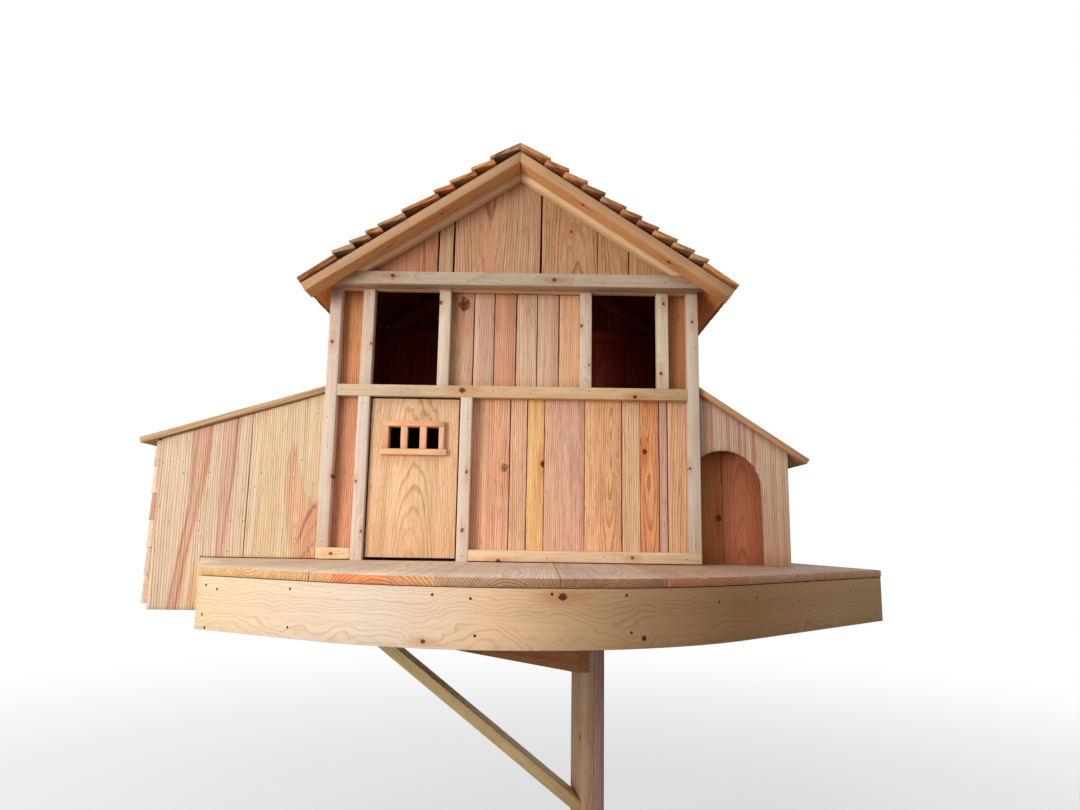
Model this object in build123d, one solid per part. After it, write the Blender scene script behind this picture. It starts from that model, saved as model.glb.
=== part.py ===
from build123d import *
import os
from math import cos, hypot, radians, sin, tan

os.makedirs("parts", exist_ok=True)

# A small timber play house on a raised deck with a rounded front.
# The house frame is used while modelling, in millimetres: x = 0 is the middle of the house,
# y = 0 the front of its studs, z = 0 the top of the deck. Every piece is moved to the foot
# of the post as it is written.

# Sawn timber
stick = 38.0             # side of the square framing sticks
board = 19.0             # thickness of every sawn board
joist_tall = 89.0        # height of a deck joist
beam_tall = 286.0        # height of the cross beam under the joists
post_plank_deep = 140.0  # width of each of the two post planks
rake_gap = 0.4           # hairline where two mitred pieces meet

# Deck
deck_height = 1250.0     # deck top above the foot of the post
deck_bend_x = 4.5        # middle of the bend in the front edge
deck_bend_y = 8.0
deck_radius = 856.0      # radius of that bend
deck_left_turn = 28.0    # degrees of the bend left and right of its front
deck_right_turn = 42.6
deck_left_run = 376.0    # straight edge past the left and the right end of the bend
deck_right_run = 716.0
deck_left_x = -985.0     # straight left side
deck_right_past = 28.0   # rear right corner past the right wing's outer face
deck_back_y = 900.0      # straight rear edge
rim_tall = 127.0         # rim board under the deck boards
rim_inset = 2.0          # rim face behind the ends of the deck boards
joist_first_y = -620.0   # front joist, centre line
joist_over_post_y = 460.0
joist_count = 4          # joists up to the one over the post

# Post, beam and brace
post_x = 280.0
post_y = 468.0
post_turn = 17.0         # degrees, about the upright
beam_angle = 134.3       # run of the cross beam in plan, degrees from +x
beam_end_left = 27.0     # tip of the beam's near face, left of the post's front left corner
beam_end_right = 10.0    # clipped tip of the beam, right of that corner
beam_end_front = 6.0     # beam's end in front of that corner
brace_top_x = -758.0     # knee brace under the joist over the post
brace_slope = 37.3       # degrees below level
brace_wide = 89.0        # brace laid flat

# House frame
house_width = 1219.0
house_depth = 700.0
plate_z = 887.0          # underside of the front top plate
mid_rail_z = 526.0       # underside of the mid rail
door_bay = 70.5          # narrow bay between the left post and the door's hinge stud
door_opening = 296.0     # clear width between the door studs
window_wide = 215.0      # clear width of each window
window_left_in = 216.5   # middle of the left window from the left post
window_right_in = 206.0  # middle of the right window from the right post

# Door
leaf_wide = 284.0
leaf_side_gap = 5.5      # hinge side
leaf_top_gap = 6.0
leaf_foot_gap = 10.0
hinge_barrel = 4.0       # radius of the hinge knuckles
hinge_pin = 2.0          # radius of the hinge pin
hinge_tall = 50.0
hinge_leaf = 1.6         # thickness of the hinge plates
hinge_plate = 15.0       # width of a hinge plate
hinge_inset = 70.0       # hinge middle from the leaf's top and foot
hinge_play = 0.05        # radial play of the pin
hinge_running = 0.3      # play between the knuckles and behind the moving plate
lattice_z = 335.0        # underside of its sill
lattice_wide = 198.0
lattice_tall = 110.0
lattice_sill = 20.0
lattice_sill_out = 8.0   # sill past the frame at each side
lattice_stile = 18.0
lattice_bar = 22.0
lattice_deep = 19.0

# Main roof
roof_pitch = 33.6
ridge_x = 15.0
eave_seat_z = 892.7      # underside of the roof boards over the left wall's outer face
sheathing = 9.5          # thickness of the roof boards
roof_front_y = -57.0     # front of the roof boards and of the gable frame
roof_back_y = 745.0
eave_overhang = 66.8     # roof boards past the walls, level
barge_past_eave = 8.0    # along the slope
barge_thick = 30.0
barge_rise = 7.0         # barge's top above the underside of the roof boards
barge_deep = 78.0
tie_tall = 43.0
shake_past_eave = 10.0
shake_thick = 22.0       # at a shake's upper end, which lies on the roof boards
shake_butt = 13.0        # at its lower end, which lies on the course below
shake_foot_butt = 20.0   # lower end of the lowest course, which lies flat
shake_lap = 10.0         # a course's lower end past the next one's upper end
left_shake_heads = (0.105, 0.193, 0.295, 0.366, 0.517, 0.622, 0.678, 0.747, 0.828)  # shares of the slope
right_shake_heads = (0.105, 0.193, 0.281, 0.368, 0.462, 0.538, 0.611, 0.699, 0.781, 0.844)
shake_front_y = -145.0
shake_back_y = 755.0

# Left wing, which hangs past the deck's edge
left_wall_y = 38.0       # front face of both wings' front walls
left_hang = 158.0        # wing's outer face past the deck's left edge
left_foot_z = -164.0
left_wing_deep = 460.0
left_notch_gap = 2.0
left_roof_top_z = 561.7  # roof board's top at the house wall
left_roof_pitch = 16.8
left_roof_past = 66.0    # roof board's tip past the wing's outer face
wing_roof_front = 18.0   # wing roofs past the wing's front wall
wing_roof_back = 20.0
siding_courses = 6
siding_butt = 20.0
siding_head = 15.5
siding_foot_up = 19.0    # siding's foot above the foot of the wing's walls

# Right wing, with the arch
right_wing_wide = 292.5
right_wing_deep = 380.0
right_roof_top_z = 578.6
right_roof_pitch = 33.4
right_roof_past = 66.0
arch_in = 81.5           # middle of the arch from the house wall
arch_radius = 125.0
arch_spring_z = 243.0
arch_panel_back = 57.0   # panel's face behind the front wall's back

# Worked out from the sizes above
half = house_width / 2
inner_x = half - stick
plate_top_z = plate_z + stick
mid_rail_top_z = mid_rail_z + stick
frame_back_y = house_depth - stick
door_stud_x = -inner_x + door_bay
door_left_x = door_stud_x + stick
door_right_x = door_left_x + door_opening
pitch = radians(roof_pitch)
rise = tan(pitch)
ridge_z = eave_seat_z + (half + ridge_x) * rise
roof_reach = (half + eave_overhang) / cos(pitch)
barge_reach = roof_reach + barge_past_eave
shake_reach = roof_reach + shake_past_eave
gable_y = roof_front_y + stick
floor_top_z = mid_rail_top_z
rim_inner = rim_inset + board
left_out_x = deck_left_x - left_hang
left_roof_tip_x = left_out_x - left_roof_past
right_out_x = half + right_wing_wide
right_roof_tip_x = right_out_x + right_roof_past
deck_right_x = right_out_x + deck_right_past
arch_x = half + arch_in
left_wing_back_y = left_wall_y + left_wing_deep


def block(x0, x1, y0, y1, z0, z1):
    """A straight piece between two corners."""
    return Pos(x0, y0, z0) * Box(x1 - x0, y1 - y0, z1 - z0, align=(Align.MIN,) * 3)


def sheet(points, y0, y1):
    """A flat outline in x and z, carried from y0 to y1."""
    face = make_face(Polyline([(x, y0, z) for x, z in points], close=True))
    return extrude(face, amount=y1 - y0, dir=(0, 1, 0))


def plan(points, z0, z1):
    """A flat outline in x and y, carried from z0 to z1."""
    face = make_face(Polyline([(x, y, z0) for x, y in points], close=True))
    return extrude(face, amount=z1 - z0, dir=(0, 0, 1))


def slope_point(side, along, up):
    """A point of the main roof: distance down the slope and height square to it."""
    x = ridge_x + side * (along * cos(pitch) + up * sin(pitch))
    return x, ridge_z - along * sin(pitch) + up * cos(pitch)


def roof_layer(side, low, high, reach, y0, y1):
    """One sloped layer, cut plumb at the ridge and square at the eave."""
    start = rake_gap / 2 / cos(pitch)
    outline = [
        slope_point(side, start - low * tan(pitch), low),
        slope_point(side, reach, low),
        slope_point(side, reach, high),
        slope_point(side, start - high * tan(pitch), high),
    ]
    return sheet(outline, y0, y1)


def under_roof(y0, y1):
    """Everything below the roof boards."""
    low = -deck_height
    wide = 2 * house_width
    fall = ridge_z - wide * rise
    outline = [(ridge_x - wide, low), (ridge_x + wide, low), (ridge_x + wide, fall)]
    outline += [(ridge_x, ridge_z), (ridge_x - wide, fall)]
    return sheet(outline, y0, y1)


def bend_point(inset, turn):
    """A point of the bend in the deck's edge, turned by degrees to the right of its front."""
    radius = deck_radius - inset
    return deck_bend_x + radius * sin(radians(turn)), deck_bend_y - radius * cos(radians(turn))


def edge_end(side, inset):
    """End of the deck's front edge at the left (-1) or the right (1), after its straight part."""
    turn = deck_right_turn if side > 0 else -deck_left_turn
    run = deck_right_run if side > 0 else -deck_left_run
    x, y = bend_point(inset, turn)
    return x + run * cos(radians(turn)), y + run * sin(radians(turn))


def front_edge(inset, left, right, z):
    """The deck's front edge between two ends: straight, bent round the front, straight again."""
    turns = (-deck_left_turn, (deck_right_turn - deck_left_turn) / 2, deck_right_turn)
    bend = [(*bend_point(inset, turn), z) for turn in turns]
    return Line((*left, z), bend[0]) + ThreePointArc(*bend) + Line(bend[2], (*right, z))


def closed_plan(inset, corners, z):
    """A flat outline: the front edge, then straight from its right end round to its left end."""
    edge = front_edge(inset, corners[-1], corners[0], z)
    return make_face(edge + Polyline([(x, y, z) for x, y in corners]))


def deck_floor():
    """The deck: straight and bent front edge, straight sides and back."""
    corners = [edge_end(1, 0), (deck_right_x, deck_back_y), (deck_left_x, deck_back_y)]
    corners += [(deck_left_x, left_wall_y), edge_end(-1, 0)]
    return extrude(closed_plan(0, corners, -board), board, dir=(0, 0, 1))


def rim_fascia():
    """The bent board under the ends of the deck boards."""
    low = -board - rim_tall
    outer = [edge_end(side, rim_inset) for side in (-1, 1)]
    inner = [edge_end(side, rim_inner) for side in (-1, 1)]
    ring = front_edge(rim_inset, *outer, low) + front_edge(rim_inner, *inner, low)
    for a, b in zip(outer, inner):
        ring += Line((*a, low), (*b, low))
    return extrude(make_face(ring), rim_tall, dir=(0, 0, 1))


def end_board(side):
    """Plan of the straight rim board from one end of the bent board back to the deck's side: its
    outer foot and head, its inner head and foot, and the bent board's inner corner."""
    x0, y0 = edge_end(side, 0)
    x1, y1 = (deck_right_x, deck_back_y) if side > 0 else (deck_left_x, left_wall_y)
    lean = (x1 - x0) / (y1 - y0)
    across = side * board * hypot(1, lean)
    corner_x, corner_y = edge_end(side, rim_inner)
    turn = radians(deck_right_turn if side > 0 else -deck_left_turn)
    off_line = x0 - across + (corner_y - y0) * lean - corner_x
    back = off_line / (sin(turn) * lean - cos(turn))
    foot = (corner_x - back * cos(turn), corner_y - back * sin(turn))
    return [edge_end(side, rim_inset), (x1, y1), (x1 - across, y1), foot, (corner_x, corner_y)]


def left_skew_rim():
    """Straight rim board from the bent board to the left side."""
    return plan(end_board(-1), -board - rim_tall, -board)


def side_rims():
    """Straight rim boards along the two sides; the right one starts at the bent board."""
    low = -board - rim_tall
    left = block(deck_left_x, deck_left_x + board, left_wall_y, deck_back_y, low, -board)
    return Compound([left, plan(end_board(1), low, -board)])


def joist_space():
    """Space inside the rim boards, where the joists lie."""
    inside_x = deck_left_x + board
    left_head, left_foot = end_board(-1)[2:4]
    right_head, right_foot = end_board(1)[2:4]
    corners = [right_foot, right_head, (inside_x, deck_back_y), (inside_x, left_wall_y)]
    corners += [left_head, left_foot]
    return extrude(closed_plan(rim_inner, corners, -board - joist_tall), joist_tall, dir=(0, 0, 1))


def deck_joists():
    """Joists across the deck; the last one of the row stands over the post."""
    step = (joist_over_post_y - joist_first_y) / (joist_count - 1)
    low = -board - joist_tall
    space = joist_space()
    rows = []
    for i in range(joist_count):
        y = joist_first_y + i * step
        row = block(-2 * deck_radius, 2 * deck_radius, y - stick / 2, y + stick / 2, low, -board)
        rows.append((row & space).solids()[0])
    return Compound(rows)


def rear_ledger():
    """Rear joist, the one that is fixed to whatever carries the deck."""
    low = -board - joist_tall
    row = block(-2 * deck_radius, 2 * deck_radius, deck_back_y - stick, deck_back_y, low, -board)
    return row & joist_space()


def post_plank(side):
    """One plank of the post, left (-1) or right (1), on the post's turned axis."""
    tall = deck_height - board - joist_tall
    plank = Box(stick, post_plank_deep, tall, align=(Align.CENTER, Align.CENTER, Align.MIN))
    return Pos(post_x, post_y, -deck_height) * Rot(0, 0, post_turn) * Pos(side * stick / 2, 0, 0) * plank


def beside_post():
    """All the space on the left of the post's left face."""
    wide = 4 * deck_radius
    room = Box(wide, wide, wide, align=(Align.MAX, Align.CENTER, Align.CENTER))
    return Pos(post_x, post_y, 0) * Rot(0, 0, post_turn) * Pos(-stick, 0, 0) * room


def cross_beam():
    """Deep beam under the joists, from the post's front left corner to the rear edge."""
    turn = radians(post_turn)
    corner_x = post_x - stick * cos(turn) + post_plank_deep / 2 * sin(turn)
    corner_y = post_y - stick * sin(turn) - post_plank_deep / 2 * cos(turn)
    end_y = corner_y - beam_end_front
    long = Box(4 * deck_radius, stick, beam_tall, align=(Align.CENTER, Align.MAX, Align.MAX))
    beam = Pos(corner_x - beam_end_left, end_y, -board - joist_tall) * Rot(0, 0, beam_angle) * long
    room = block(-deck_radius, corner_x + beam_end_right, end_y, deck_back_y, -deck_height, 0)
    return (beam & room) - post_plank(-1)


def knee_brace():
    """Flat brace from the joist over the post down to the post's left face."""
    fall = tan(radians(brace_slope))
    top_z = -board - joist_tall
    run = 2 * (post_x - brace_top_x)
    thick = stick / cos(radians(brace_slope))
    outline = [(brace_top_x, top_z), (brace_top_x + run, top_z - run * fall)]
    outline += [(brace_top_x + run, top_z - run * fall + thick)]
    outline += [(brace_top_x + thick / fall, top_z)]
    y0 = joist_over_post_y - brace_wide / 2
    return sheet(outline, y0, y0 + brace_wide) & beside_post()


def corner_posts():
    """Four posts that stand on the bottom rails."""
    corners = [(x0, y0) for x0 in (-half, inner_x) for y0 in (0, frame_back_y)]
    return Compound([block(x, x + stick, y, y + stick, stick, plate_z) for x, y in corners])


def front_bottom_rails():
    """Rails at the foot of the front, left and right of the door."""
    spans = ((-half, door_stud_x), (door_right_x + stick, half))
    return Compound([block(a, b, 0, stick, 0, stick) for a, b in spans])


def door_studs():
    starts = (door_stud_x, door_right_x)
    return Compound([block(x, x + stick, 0, stick, 0, mid_rail_z) for x in starts])


def front_mid_rail():
    return block(-inner_x, inner_x, 0, stick, mid_rail_z, mid_rail_top_z)


def window_stud_xs():
    """Left sides of the four short studs beside the windows."""
    xs = []
    for middle in (-inner_x + window_left_in, inner_x - window_right_in):
        xs += [middle - window_wide / 2 - stick, middle + window_wide / 2]
    return xs


def window_studs():
    return Compound([block(x, x + stick, 0, stick, mid_rail_top_z, plate_z) for x in window_stud_xs()])


def top_plates():
    """Plates on the corner posts, front and back, with their ends cut to the slopes."""
    plates = []
    for y0 in (0, frame_back_y):
        plate = block(-half, half, y0, y0 + stick, plate_z, plate_top_z)
        plates.append((plate & under_roof(y0, y0 + stick)).solids()[0])
    return Compound(plates)


def side_plates():
    """Bevelled plates between the corner posts, under the eaves."""
    plates = []
    for x0 in (-half, inner_x):
        plate = block(x0, x0 + stick, stick, frame_back_y, plate_z - stick, plate_top_z)
        plates.append((plate & under_roof(stick, frame_back_y)).solids()[0])
    return Compound(plates)


def side_rails():
    """Bottom and middle rails between the corner posts of both sides."""
    rails = []
    for x0 in (-half, inner_x):
        for low in (0, mid_rail_z):
            rails.append(block(x0, x0 + stick, stick, frame_back_y, low, low + stick))
    return Compound(rails)


def back_rails():
    bottom = block(-half, half, frame_back_y, house_depth, 0, stick)
    middle = block(-inner_x, inner_x, frame_back_y, house_depth, mid_rail_z, mid_rail_top_z)
    return Compound([bottom, middle])


def lower_boards():
    """Boards behind the bays at both sides of the door."""
    spans = ((-inner_x, door_stud_x + stick / 2), (door_right_x + stick / 2, inner_x))
    return Compound([block(a, b, stick, stick + board, 0, floor_top_z - board) for a, b in spans])


def upper_boards():
    """Boards behind the upper bays, beside and between the windows."""
    xs = window_stud_xs()
    spans = [(-inner_x, xs[0] + stick / 2), (xs[1] + stick / 2, xs[2] + stick / 2)]
    spans.append((xs[3] + stick / 2, inner_x))
    return Compound([block(a, b, stick, stick + board, floor_top_z, plate_z) for a, b in spans])


def side_boards():
    """Boards inside the framing of both side walls."""
    starts = (-inner_x, inner_x - board)
    return Compound([block(x, x + board, stick + board, frame_back_y - board, 0, plate_z) for x in starts])


def back_boards():
    return block(-inner_x, inner_x, frame_back_y - board, frame_back_y, 0, plate_z)


def upper_floor():
    reach = inner_x - board
    return block(-reach, reach, stick, frame_back_y - board, floor_top_z - board, floor_top_z)


def tie_beam():
    """Foot of the front gable frame, cut off by the slopes at its ends."""
    tie = block(-2 * half, 2 * half, roof_front_y, gable_y, plate_z, plate_z + tie_tall)
    return tie & under_roof(roof_front_y, gable_y)


def gable_rakes():
    """Sloping sticks of the front gable frame, standing on the tie beam."""
    above = block(-2 * half, 2 * half, roof_front_y, gable_y, plate_z + tie_tall, 2 * ridge_z)
    rakes = [roof_layer(s, -stick, 0, roof_reach, roof_front_y, gable_y) & above for s in (-1, 1)]
    return Compound([r.solids()[0] for r in rakes])


def gable_boards():
    """Boarded triangles under the roof, front and back."""
    gables = []
    for y0 in (gable_y, house_depth):
        boards = block(-half, half, y0, y0 + board, plate_z, 2 * ridge_z)
        gables.append((boards & under_roof(y0, y0 + board)).solids()[0])
    return Compound(gables)


def back_rafters():
    """Rafters standing on the back plate, seen through the front windows."""
    above = block(-half, half, frame_back_y, house_depth, plate_top_z, 2 * ridge_z)
    rafters = [roof_layer(s, -stick, 0, roof_reach, frame_back_y, house_depth) & above for s in (-1, 1)]
    return Compound([r.solids()[0] for r in rafters])


def barge_boards():
    """Wide flat boards that stand out in front of the gable frame."""
    low = barge_rise - barge_thick
    y0 = roof_front_y - barge_deep
    pair = [roof_layer(s, low, barge_rise, barge_reach, y0, roof_front_y) for s in (-1, 1)]
    return Compound([p.solids()[0] for p in pair])


def roof_boards(side):
    return roof_layer(side, 0, sheathing, roof_reach, roof_front_y, roof_back_y)


def shake_course(side, head, foot, lift, butt):
    """One course of split shakes from its head on the roof boards to its foot, lifted off them."""
    top = sheathing + shake_thick
    if head == 0:
        start = rake_gap / 2 / cos(pitch)
        upper = [slope_point(side, start - up * tan(pitch), up) for up in (sheathing, top)]
    else:
        upper = [slope_point(side, head, up) for up in (sheathing, top)]
    lower = [slope_point(side, foot, sheathing + up) for up in (lift, lift + butt)]
    return sheet([upper[0], lower[0], lower[1], upper[1]], shake_front_y, shake_back_y)


def shakes(side, head_shares):
    """All courses of one slope, laid by hand at uneven steps, each on the head of the one below."""
    heads = [0] + [share * shake_reach for share in head_shares]
    layer = shake_course(side, heads[-1], shake_reach, 0, shake_foot_butt)
    for head, below in zip(heads, heads[1:]):
        layer += shake_course(side, head, below + shake_lap, shake_thick, shake_butt)
    return layer


def left_roof_low(x):
    """Underside of the left wing's roof board at x."""
    slope = radians(left_roof_pitch)
    return left_roof_top_z - board / cos(slope) - (-half - x) * tan(slope)


def right_roof_low(x):
    """Underside of the right wing's roof board at x."""
    slope = radians(right_roof_pitch)
    return right_roof_top_z - board / cos(slope) - (x - half) * tan(slope)


def wing_roof(side, top_z, slope_deg, tip_x, y1):
    """One sloping board, plumb at the house wall and square at its tip."""
    slope = radians(slope_deg)
    run = abs(tip_x) - half
    tip_z = top_z - run * tan(slope)
    low_x = abs(tip_x) - board * sin(slope)
    low_z = tip_z - board * cos(slope)
    outline = [(side * half, top_z), (tip_x, tip_z), (side * low_x, low_z)]
    outline.append((side * half, top_z - board / cos(slope)))
    return sheet(outline, left_wall_y - wing_roof_front, y1)


def left_wing_walls():
    """Front and back walls of wide boards; the outer parts hang down past the deck."""
    notch_x = deck_left_x - left_notch_gap
    outline = [(left_out_x, left_foot_z), (notch_x, left_foot_z), (notch_x, 0), (-half, 0)]
    outline += [(-half, left_roof_low(-half)), (left_out_x, left_roof_low(left_out_x))]
    starts = (left_wall_y, left_wing_back_y - board)
    return Compound([sheet(outline, y, y + board) for y in starts])


def left_wing_siding():
    """Lapped boards on the outer side; each course stands out at its foot."""
    head_z = left_roof_low(left_out_x - siding_butt)
    foot_z = left_foot_z + siding_foot_up
    exposure = (head_z - foot_z) / siding_courses
    outline = [(left_out_x, foot_z)]
    for i in range(siding_courses):
        foot = foot_z + i * exposure
        outline.append((left_out_x - siding_butt, foot))
        outline.append((left_out_x - siding_head, foot + exposure))
    outline.append((left_out_x, head_z))
    return sheet(outline, left_wall_y, left_wall_y + left_wing_deep)


def right_wing_front():
    """Front board with the round-headed opening beside the corner post."""
    outline = [(half, 0), (right_out_x, 0), (right_out_x, right_roof_low(right_out_x))]
    outline.append((half, right_roof_low(half)))
    wall = sheet(outline, left_wall_y, left_wall_y + board)
    y1 = left_wall_y + board
    doorway = block(arch_x - arch_radius, arch_x + arch_radius, 0, y1 + board, -board, arch_spring_z)
    head = Pos(arch_x, left_wall_y, arch_spring_z) * Rot(90, 0, 0) * Cylinder(arch_radius, 4 * board)
    return wall - doorway - head


def right_wing_wall(y0):
    """Boarded wall across the wing, inside its side wall."""
    x1 = right_out_x - board
    outline = [(half, 0), (x1, 0), (x1, right_roof_low(x1)), (half, right_roof_low(half))]
    return sheet(outline, y0, y0 + board)


def right_wing_side():
    x0 = right_out_x - board
    wall_top = [(x0, right_roof_low(x0)), (right_out_x, right_roof_low(right_out_x))]
    outline = [(right_out_x, 0), (x0, 0)] + wall_top
    return sheet(outline, left_wall_y + board, left_wall_y + right_wing_deep)


leaf_left_x = door_left_x + leaf_side_gap
leaf_right_x = leaf_left_x + leaf_wide
lattice_x = (leaf_left_x + leaf_right_x) / 2
leaf_top_z = mid_rail_z - leaf_top_gap
leaf_back_y = stick
leaf_front_y = leaf_back_y - board
pin_x = door_left_x + leaf_side_gap / 2
pin_y = stick + hinge_barrel + hinge_leaf


def lattice_opening():
    """Outline of the little window inside its stiles and head."""
    x0 = lattice_x - lattice_wide / 2 + lattice_stile
    x1 = lattice_x + lattice_wide / 2 - lattice_stile
    z0 = lattice_z + lattice_sill
    return x0, x1, z0, lattice_z + lattice_tall - lattice_stile


def door_leaf():
    """One wide board with the little window cut through it."""
    leaf = block(leaf_left_x, leaf_right_x, leaf_front_y, leaf_back_y, leaf_foot_gap, leaf_top_z)
    x0, x1, z0, z1 = lattice_opening()
    return leaf - block(x0, x1, leaf_front_y - board, leaf_back_y + board, z0, z1)


def door_lattice():
    """Frame of the little window with its sill and two upright bars."""
    x0 = lattice_x - lattice_wide / 2
    x1 = lattice_x + lattice_wide / 2
    ox0, ox1, oz0, oz1 = lattice_opening()
    y0 = leaf_front_y - lattice_deep
    frame = block(x0, x1, y0, leaf_front_y, lattice_z, lattice_z + lattice_tall)
    sill_x0 = x0 - lattice_sill_out
    sill_x1 = x1 + lattice_sill_out
    frame += block(sill_x0, sill_x1, y0, leaf_front_y, lattice_z, lattice_z + lattice_sill)
    light = (ox1 - ox0 - 2 * lattice_bar) / 3
    for i in range(3):
        lx = ox0 + i * (light + lattice_bar)
        frame -= block(lx, lx + light, y0 - board, leaf_front_y + board, oz0, oz1)
    return frame


def hinge_heights():
    """Middles of the two hinges."""
    return leaf_foot_gap + hinge_inset, leaf_top_z - hinge_inset


def knuckle(z0, z1):
    barrel = Cylinder(hinge_barrel, z1 - z0, align=(Align.CENTER, Align.CENTER, Align.MIN))
    return Pos(pin_x, pin_y, z0) * barrel


def hinge_post_side():
    """Plates on the stud with the outer knuckles and the pin."""
    third = hinge_tall / 3
    pieces = []
    for middle in hinge_heights():
        z0 = middle - hinge_tall / 2
        plate_y = stick + hinge_leaf
        for low in (z0, z0 + 2 * third):
            tab = block(pin_x - hinge_plate, pin_x, stick, plate_y, low, low + third)
            tab += block(pin_x - hinge_barrel, pin_x, stick, pin_y, low, low + third)
            tab += knuckle(low, low + third)
            pieces.append(tab)
        pin = Cylinder(hinge_pin, third, align=(Align.CENTER, Align.CENTER, Align.MIN))
        pieces[-1] += Pos(pin_x, pin_y, z0 + third) * pin
        pieces[-1] += pieces.pop(-2)
    return Compound([p.solids()[0] for p in pieces])


def hinge_leaf_side():
    """Plates on the door with the middle knuckles."""
    third = hinge_tall / 3
    pieces = []
    for middle in hinge_heights():
        low = middle - third / 2 + hinge_running
        high = middle + third / 2 - hinge_running
        tab = block(leaf_left_x, pin_x + hinge_plate, stick, stick + hinge_leaf, low, high)
        tab += block(pin_x, pin_x + hinge_barrel, stick + hinge_running, pin_y, low, high)
        tab += knuckle(low, high)
        hole = Cylinder(hinge_pin + hinge_play, hinge_tall)
        tab -= Pos(pin_x, pin_y, middle) * hole
        pieces.append(tab.solids()[0])
    return Compound(pieces)


pieces = {
    "post_plank_left": post_plank(-1),
    "post_plank_right": post_plank(1),
    "cross_beam": cross_beam(),
    "knee_brace": knee_brace(),
    "deck_joists": deck_joists(),
    "rear_ledger": rear_ledger(),
    "rim_fascia": rim_fascia(),
    "left_skew_rim": left_skew_rim(),
    "side_rims": side_rims(),
    "deck_floor": deck_floor(),
    "corner_posts": corner_posts(),
    "front_bottom_rails": front_bottom_rails(),
    "door_studs": door_studs(),
    "front_mid_rail": front_mid_rail(),
    "window_studs": window_studs(),
    "top_plates": top_plates(),
    "side_plates": side_plates(),
    "side_rails": side_rails(),
    "back_rails": back_rails(),
    "front_boards_lower": lower_boards(),
    "front_boards_upper": upper_boards(),
    "side_boards": side_boards(),
    "back_boards": back_boards(),
    "upper_floor": upper_floor(),
    "front_tie_beam": tie_beam(),
    "front_gable_rakes": gable_rakes(),
    "gable_boards": gable_boards(),
    "back_rafters": back_rafters(),
    "barge_boards": barge_boards(),
    "roof_boards_left": roof_boards(-1),
    "roof_boards_right": roof_boards(1),
    "roof_shakes_left": shakes(-1, left_shake_heads),
    "roof_shakes_right": shakes(1, right_shake_heads),
    "left_wing_walls": left_wing_walls(),
    "left_wing_siding": left_wing_siding(),
    "left_wing_roof": wing_roof(
        -1, left_roof_top_z, left_roof_pitch, left_roof_tip_x, left_wing_back_y + wing_roof_back
    ),
    "right_wing_front": right_wing_front(),
    "right_wing_panel": right_wing_wall(left_wall_y + board + arch_panel_back),
    "right_wing_side": right_wing_side(),
    "right_wing_back": right_wing_wall(left_wall_y + right_wing_deep - board),
    "right_wing_roof": wing_roof(
        1,
        right_roof_top_z,
        right_roof_pitch,
        right_roof_tip_x,
        left_wall_y + right_wing_deep + wing_roof_back,
    ),
    "door_leaf": door_leaf(),
    "door_lattice": door_lattice(),
    "door_hinges_fixed": hinge_post_side(),
    "door_hinges_moving": hinge_leaf_side(),
}

# The row's origin is on the foot of the left post plank.
foot_x = post_x - stick / 2 * cos(radians(post_turn))
foot_y = post_y - stick / 2 * sin(radians(post_turn))

for name, piece in pieces.items():
    placed = Pos(-foot_x, -foot_y, deck_height) * piece
    export_step(placed, f"parts/{name}.step")

print("foot of the post at", round(foot_x, 2), round(foot_y, 2))
print("hinge pin at", round(pin_x - foot_x, 2), round(pin_y - foot_y, 2))
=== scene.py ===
import math
import bpy
import numpy as np
from mathutils import Matrix, Vector


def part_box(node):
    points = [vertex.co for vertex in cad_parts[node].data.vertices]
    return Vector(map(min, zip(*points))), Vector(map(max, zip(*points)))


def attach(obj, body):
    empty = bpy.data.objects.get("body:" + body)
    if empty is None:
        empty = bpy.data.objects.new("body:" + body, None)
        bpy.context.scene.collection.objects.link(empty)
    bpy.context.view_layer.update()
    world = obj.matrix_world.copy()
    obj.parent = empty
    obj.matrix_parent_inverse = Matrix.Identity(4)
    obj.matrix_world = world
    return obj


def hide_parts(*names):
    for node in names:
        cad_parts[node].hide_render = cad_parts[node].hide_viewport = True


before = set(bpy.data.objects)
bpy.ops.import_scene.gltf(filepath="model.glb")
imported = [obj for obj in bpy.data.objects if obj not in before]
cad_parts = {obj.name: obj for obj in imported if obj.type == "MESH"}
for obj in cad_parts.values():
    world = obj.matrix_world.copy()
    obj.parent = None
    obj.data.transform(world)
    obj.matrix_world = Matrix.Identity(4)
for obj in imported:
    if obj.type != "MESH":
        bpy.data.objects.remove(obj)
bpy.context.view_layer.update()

# Sizes below are millimetres of the house: x from its middle, y back from the studs, z up from the deck.
postsLow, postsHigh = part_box("corner_posts")
home = np.array([(postsLow.x + postsHigh.x) / 2, postsLow.y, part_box("deck_floor")[1].z])
rng = np.random.default_rng(41)

house = {
    "half": 609.5,
    "back": 700.0,
    "stick": 38.0,
    "board": 19.0,
    "midRail": 526.0,
    "floorUnder": 545.0,
    "plate": 887.0,
    "pitch": math.radians(33.6),
    "ridgeX": 15.0,
    "eaveSeat": 892.7,
}
half = house["half"]
stick = house["stick"]
board = house["board"]
pitch = house["pitch"]
ridgeX = house["ridgeX"]
midRail = house["midRail"]
plate = house["plate"]
floorUnder = house["floorUnder"]
inner = half - stick                       # the posts' inner faces
floorTop = floorUnder + board
backStick = house["back"] - stick          # front faces of the back sticks and of the boards on them
backBoard = backStick - board
rise = math.tan(pitch)
ridgeZ = house["eaveSeat"] + (half + ridgeX) * rise

# A board's place: where it starts, then the directions of its length, its width and its thickness.
east, north, above = np.eye(3)
nowhere = np.zeros(3)
upright = (nowhere, above, east, north)
level = (nowhere, east, above, north)
flat = (nowhere, east, north, above)
inward = (nowhere, north, above, east)
decking = (nowhere, north, east, above)
sideways = (nowhere, above, north, east)


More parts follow.
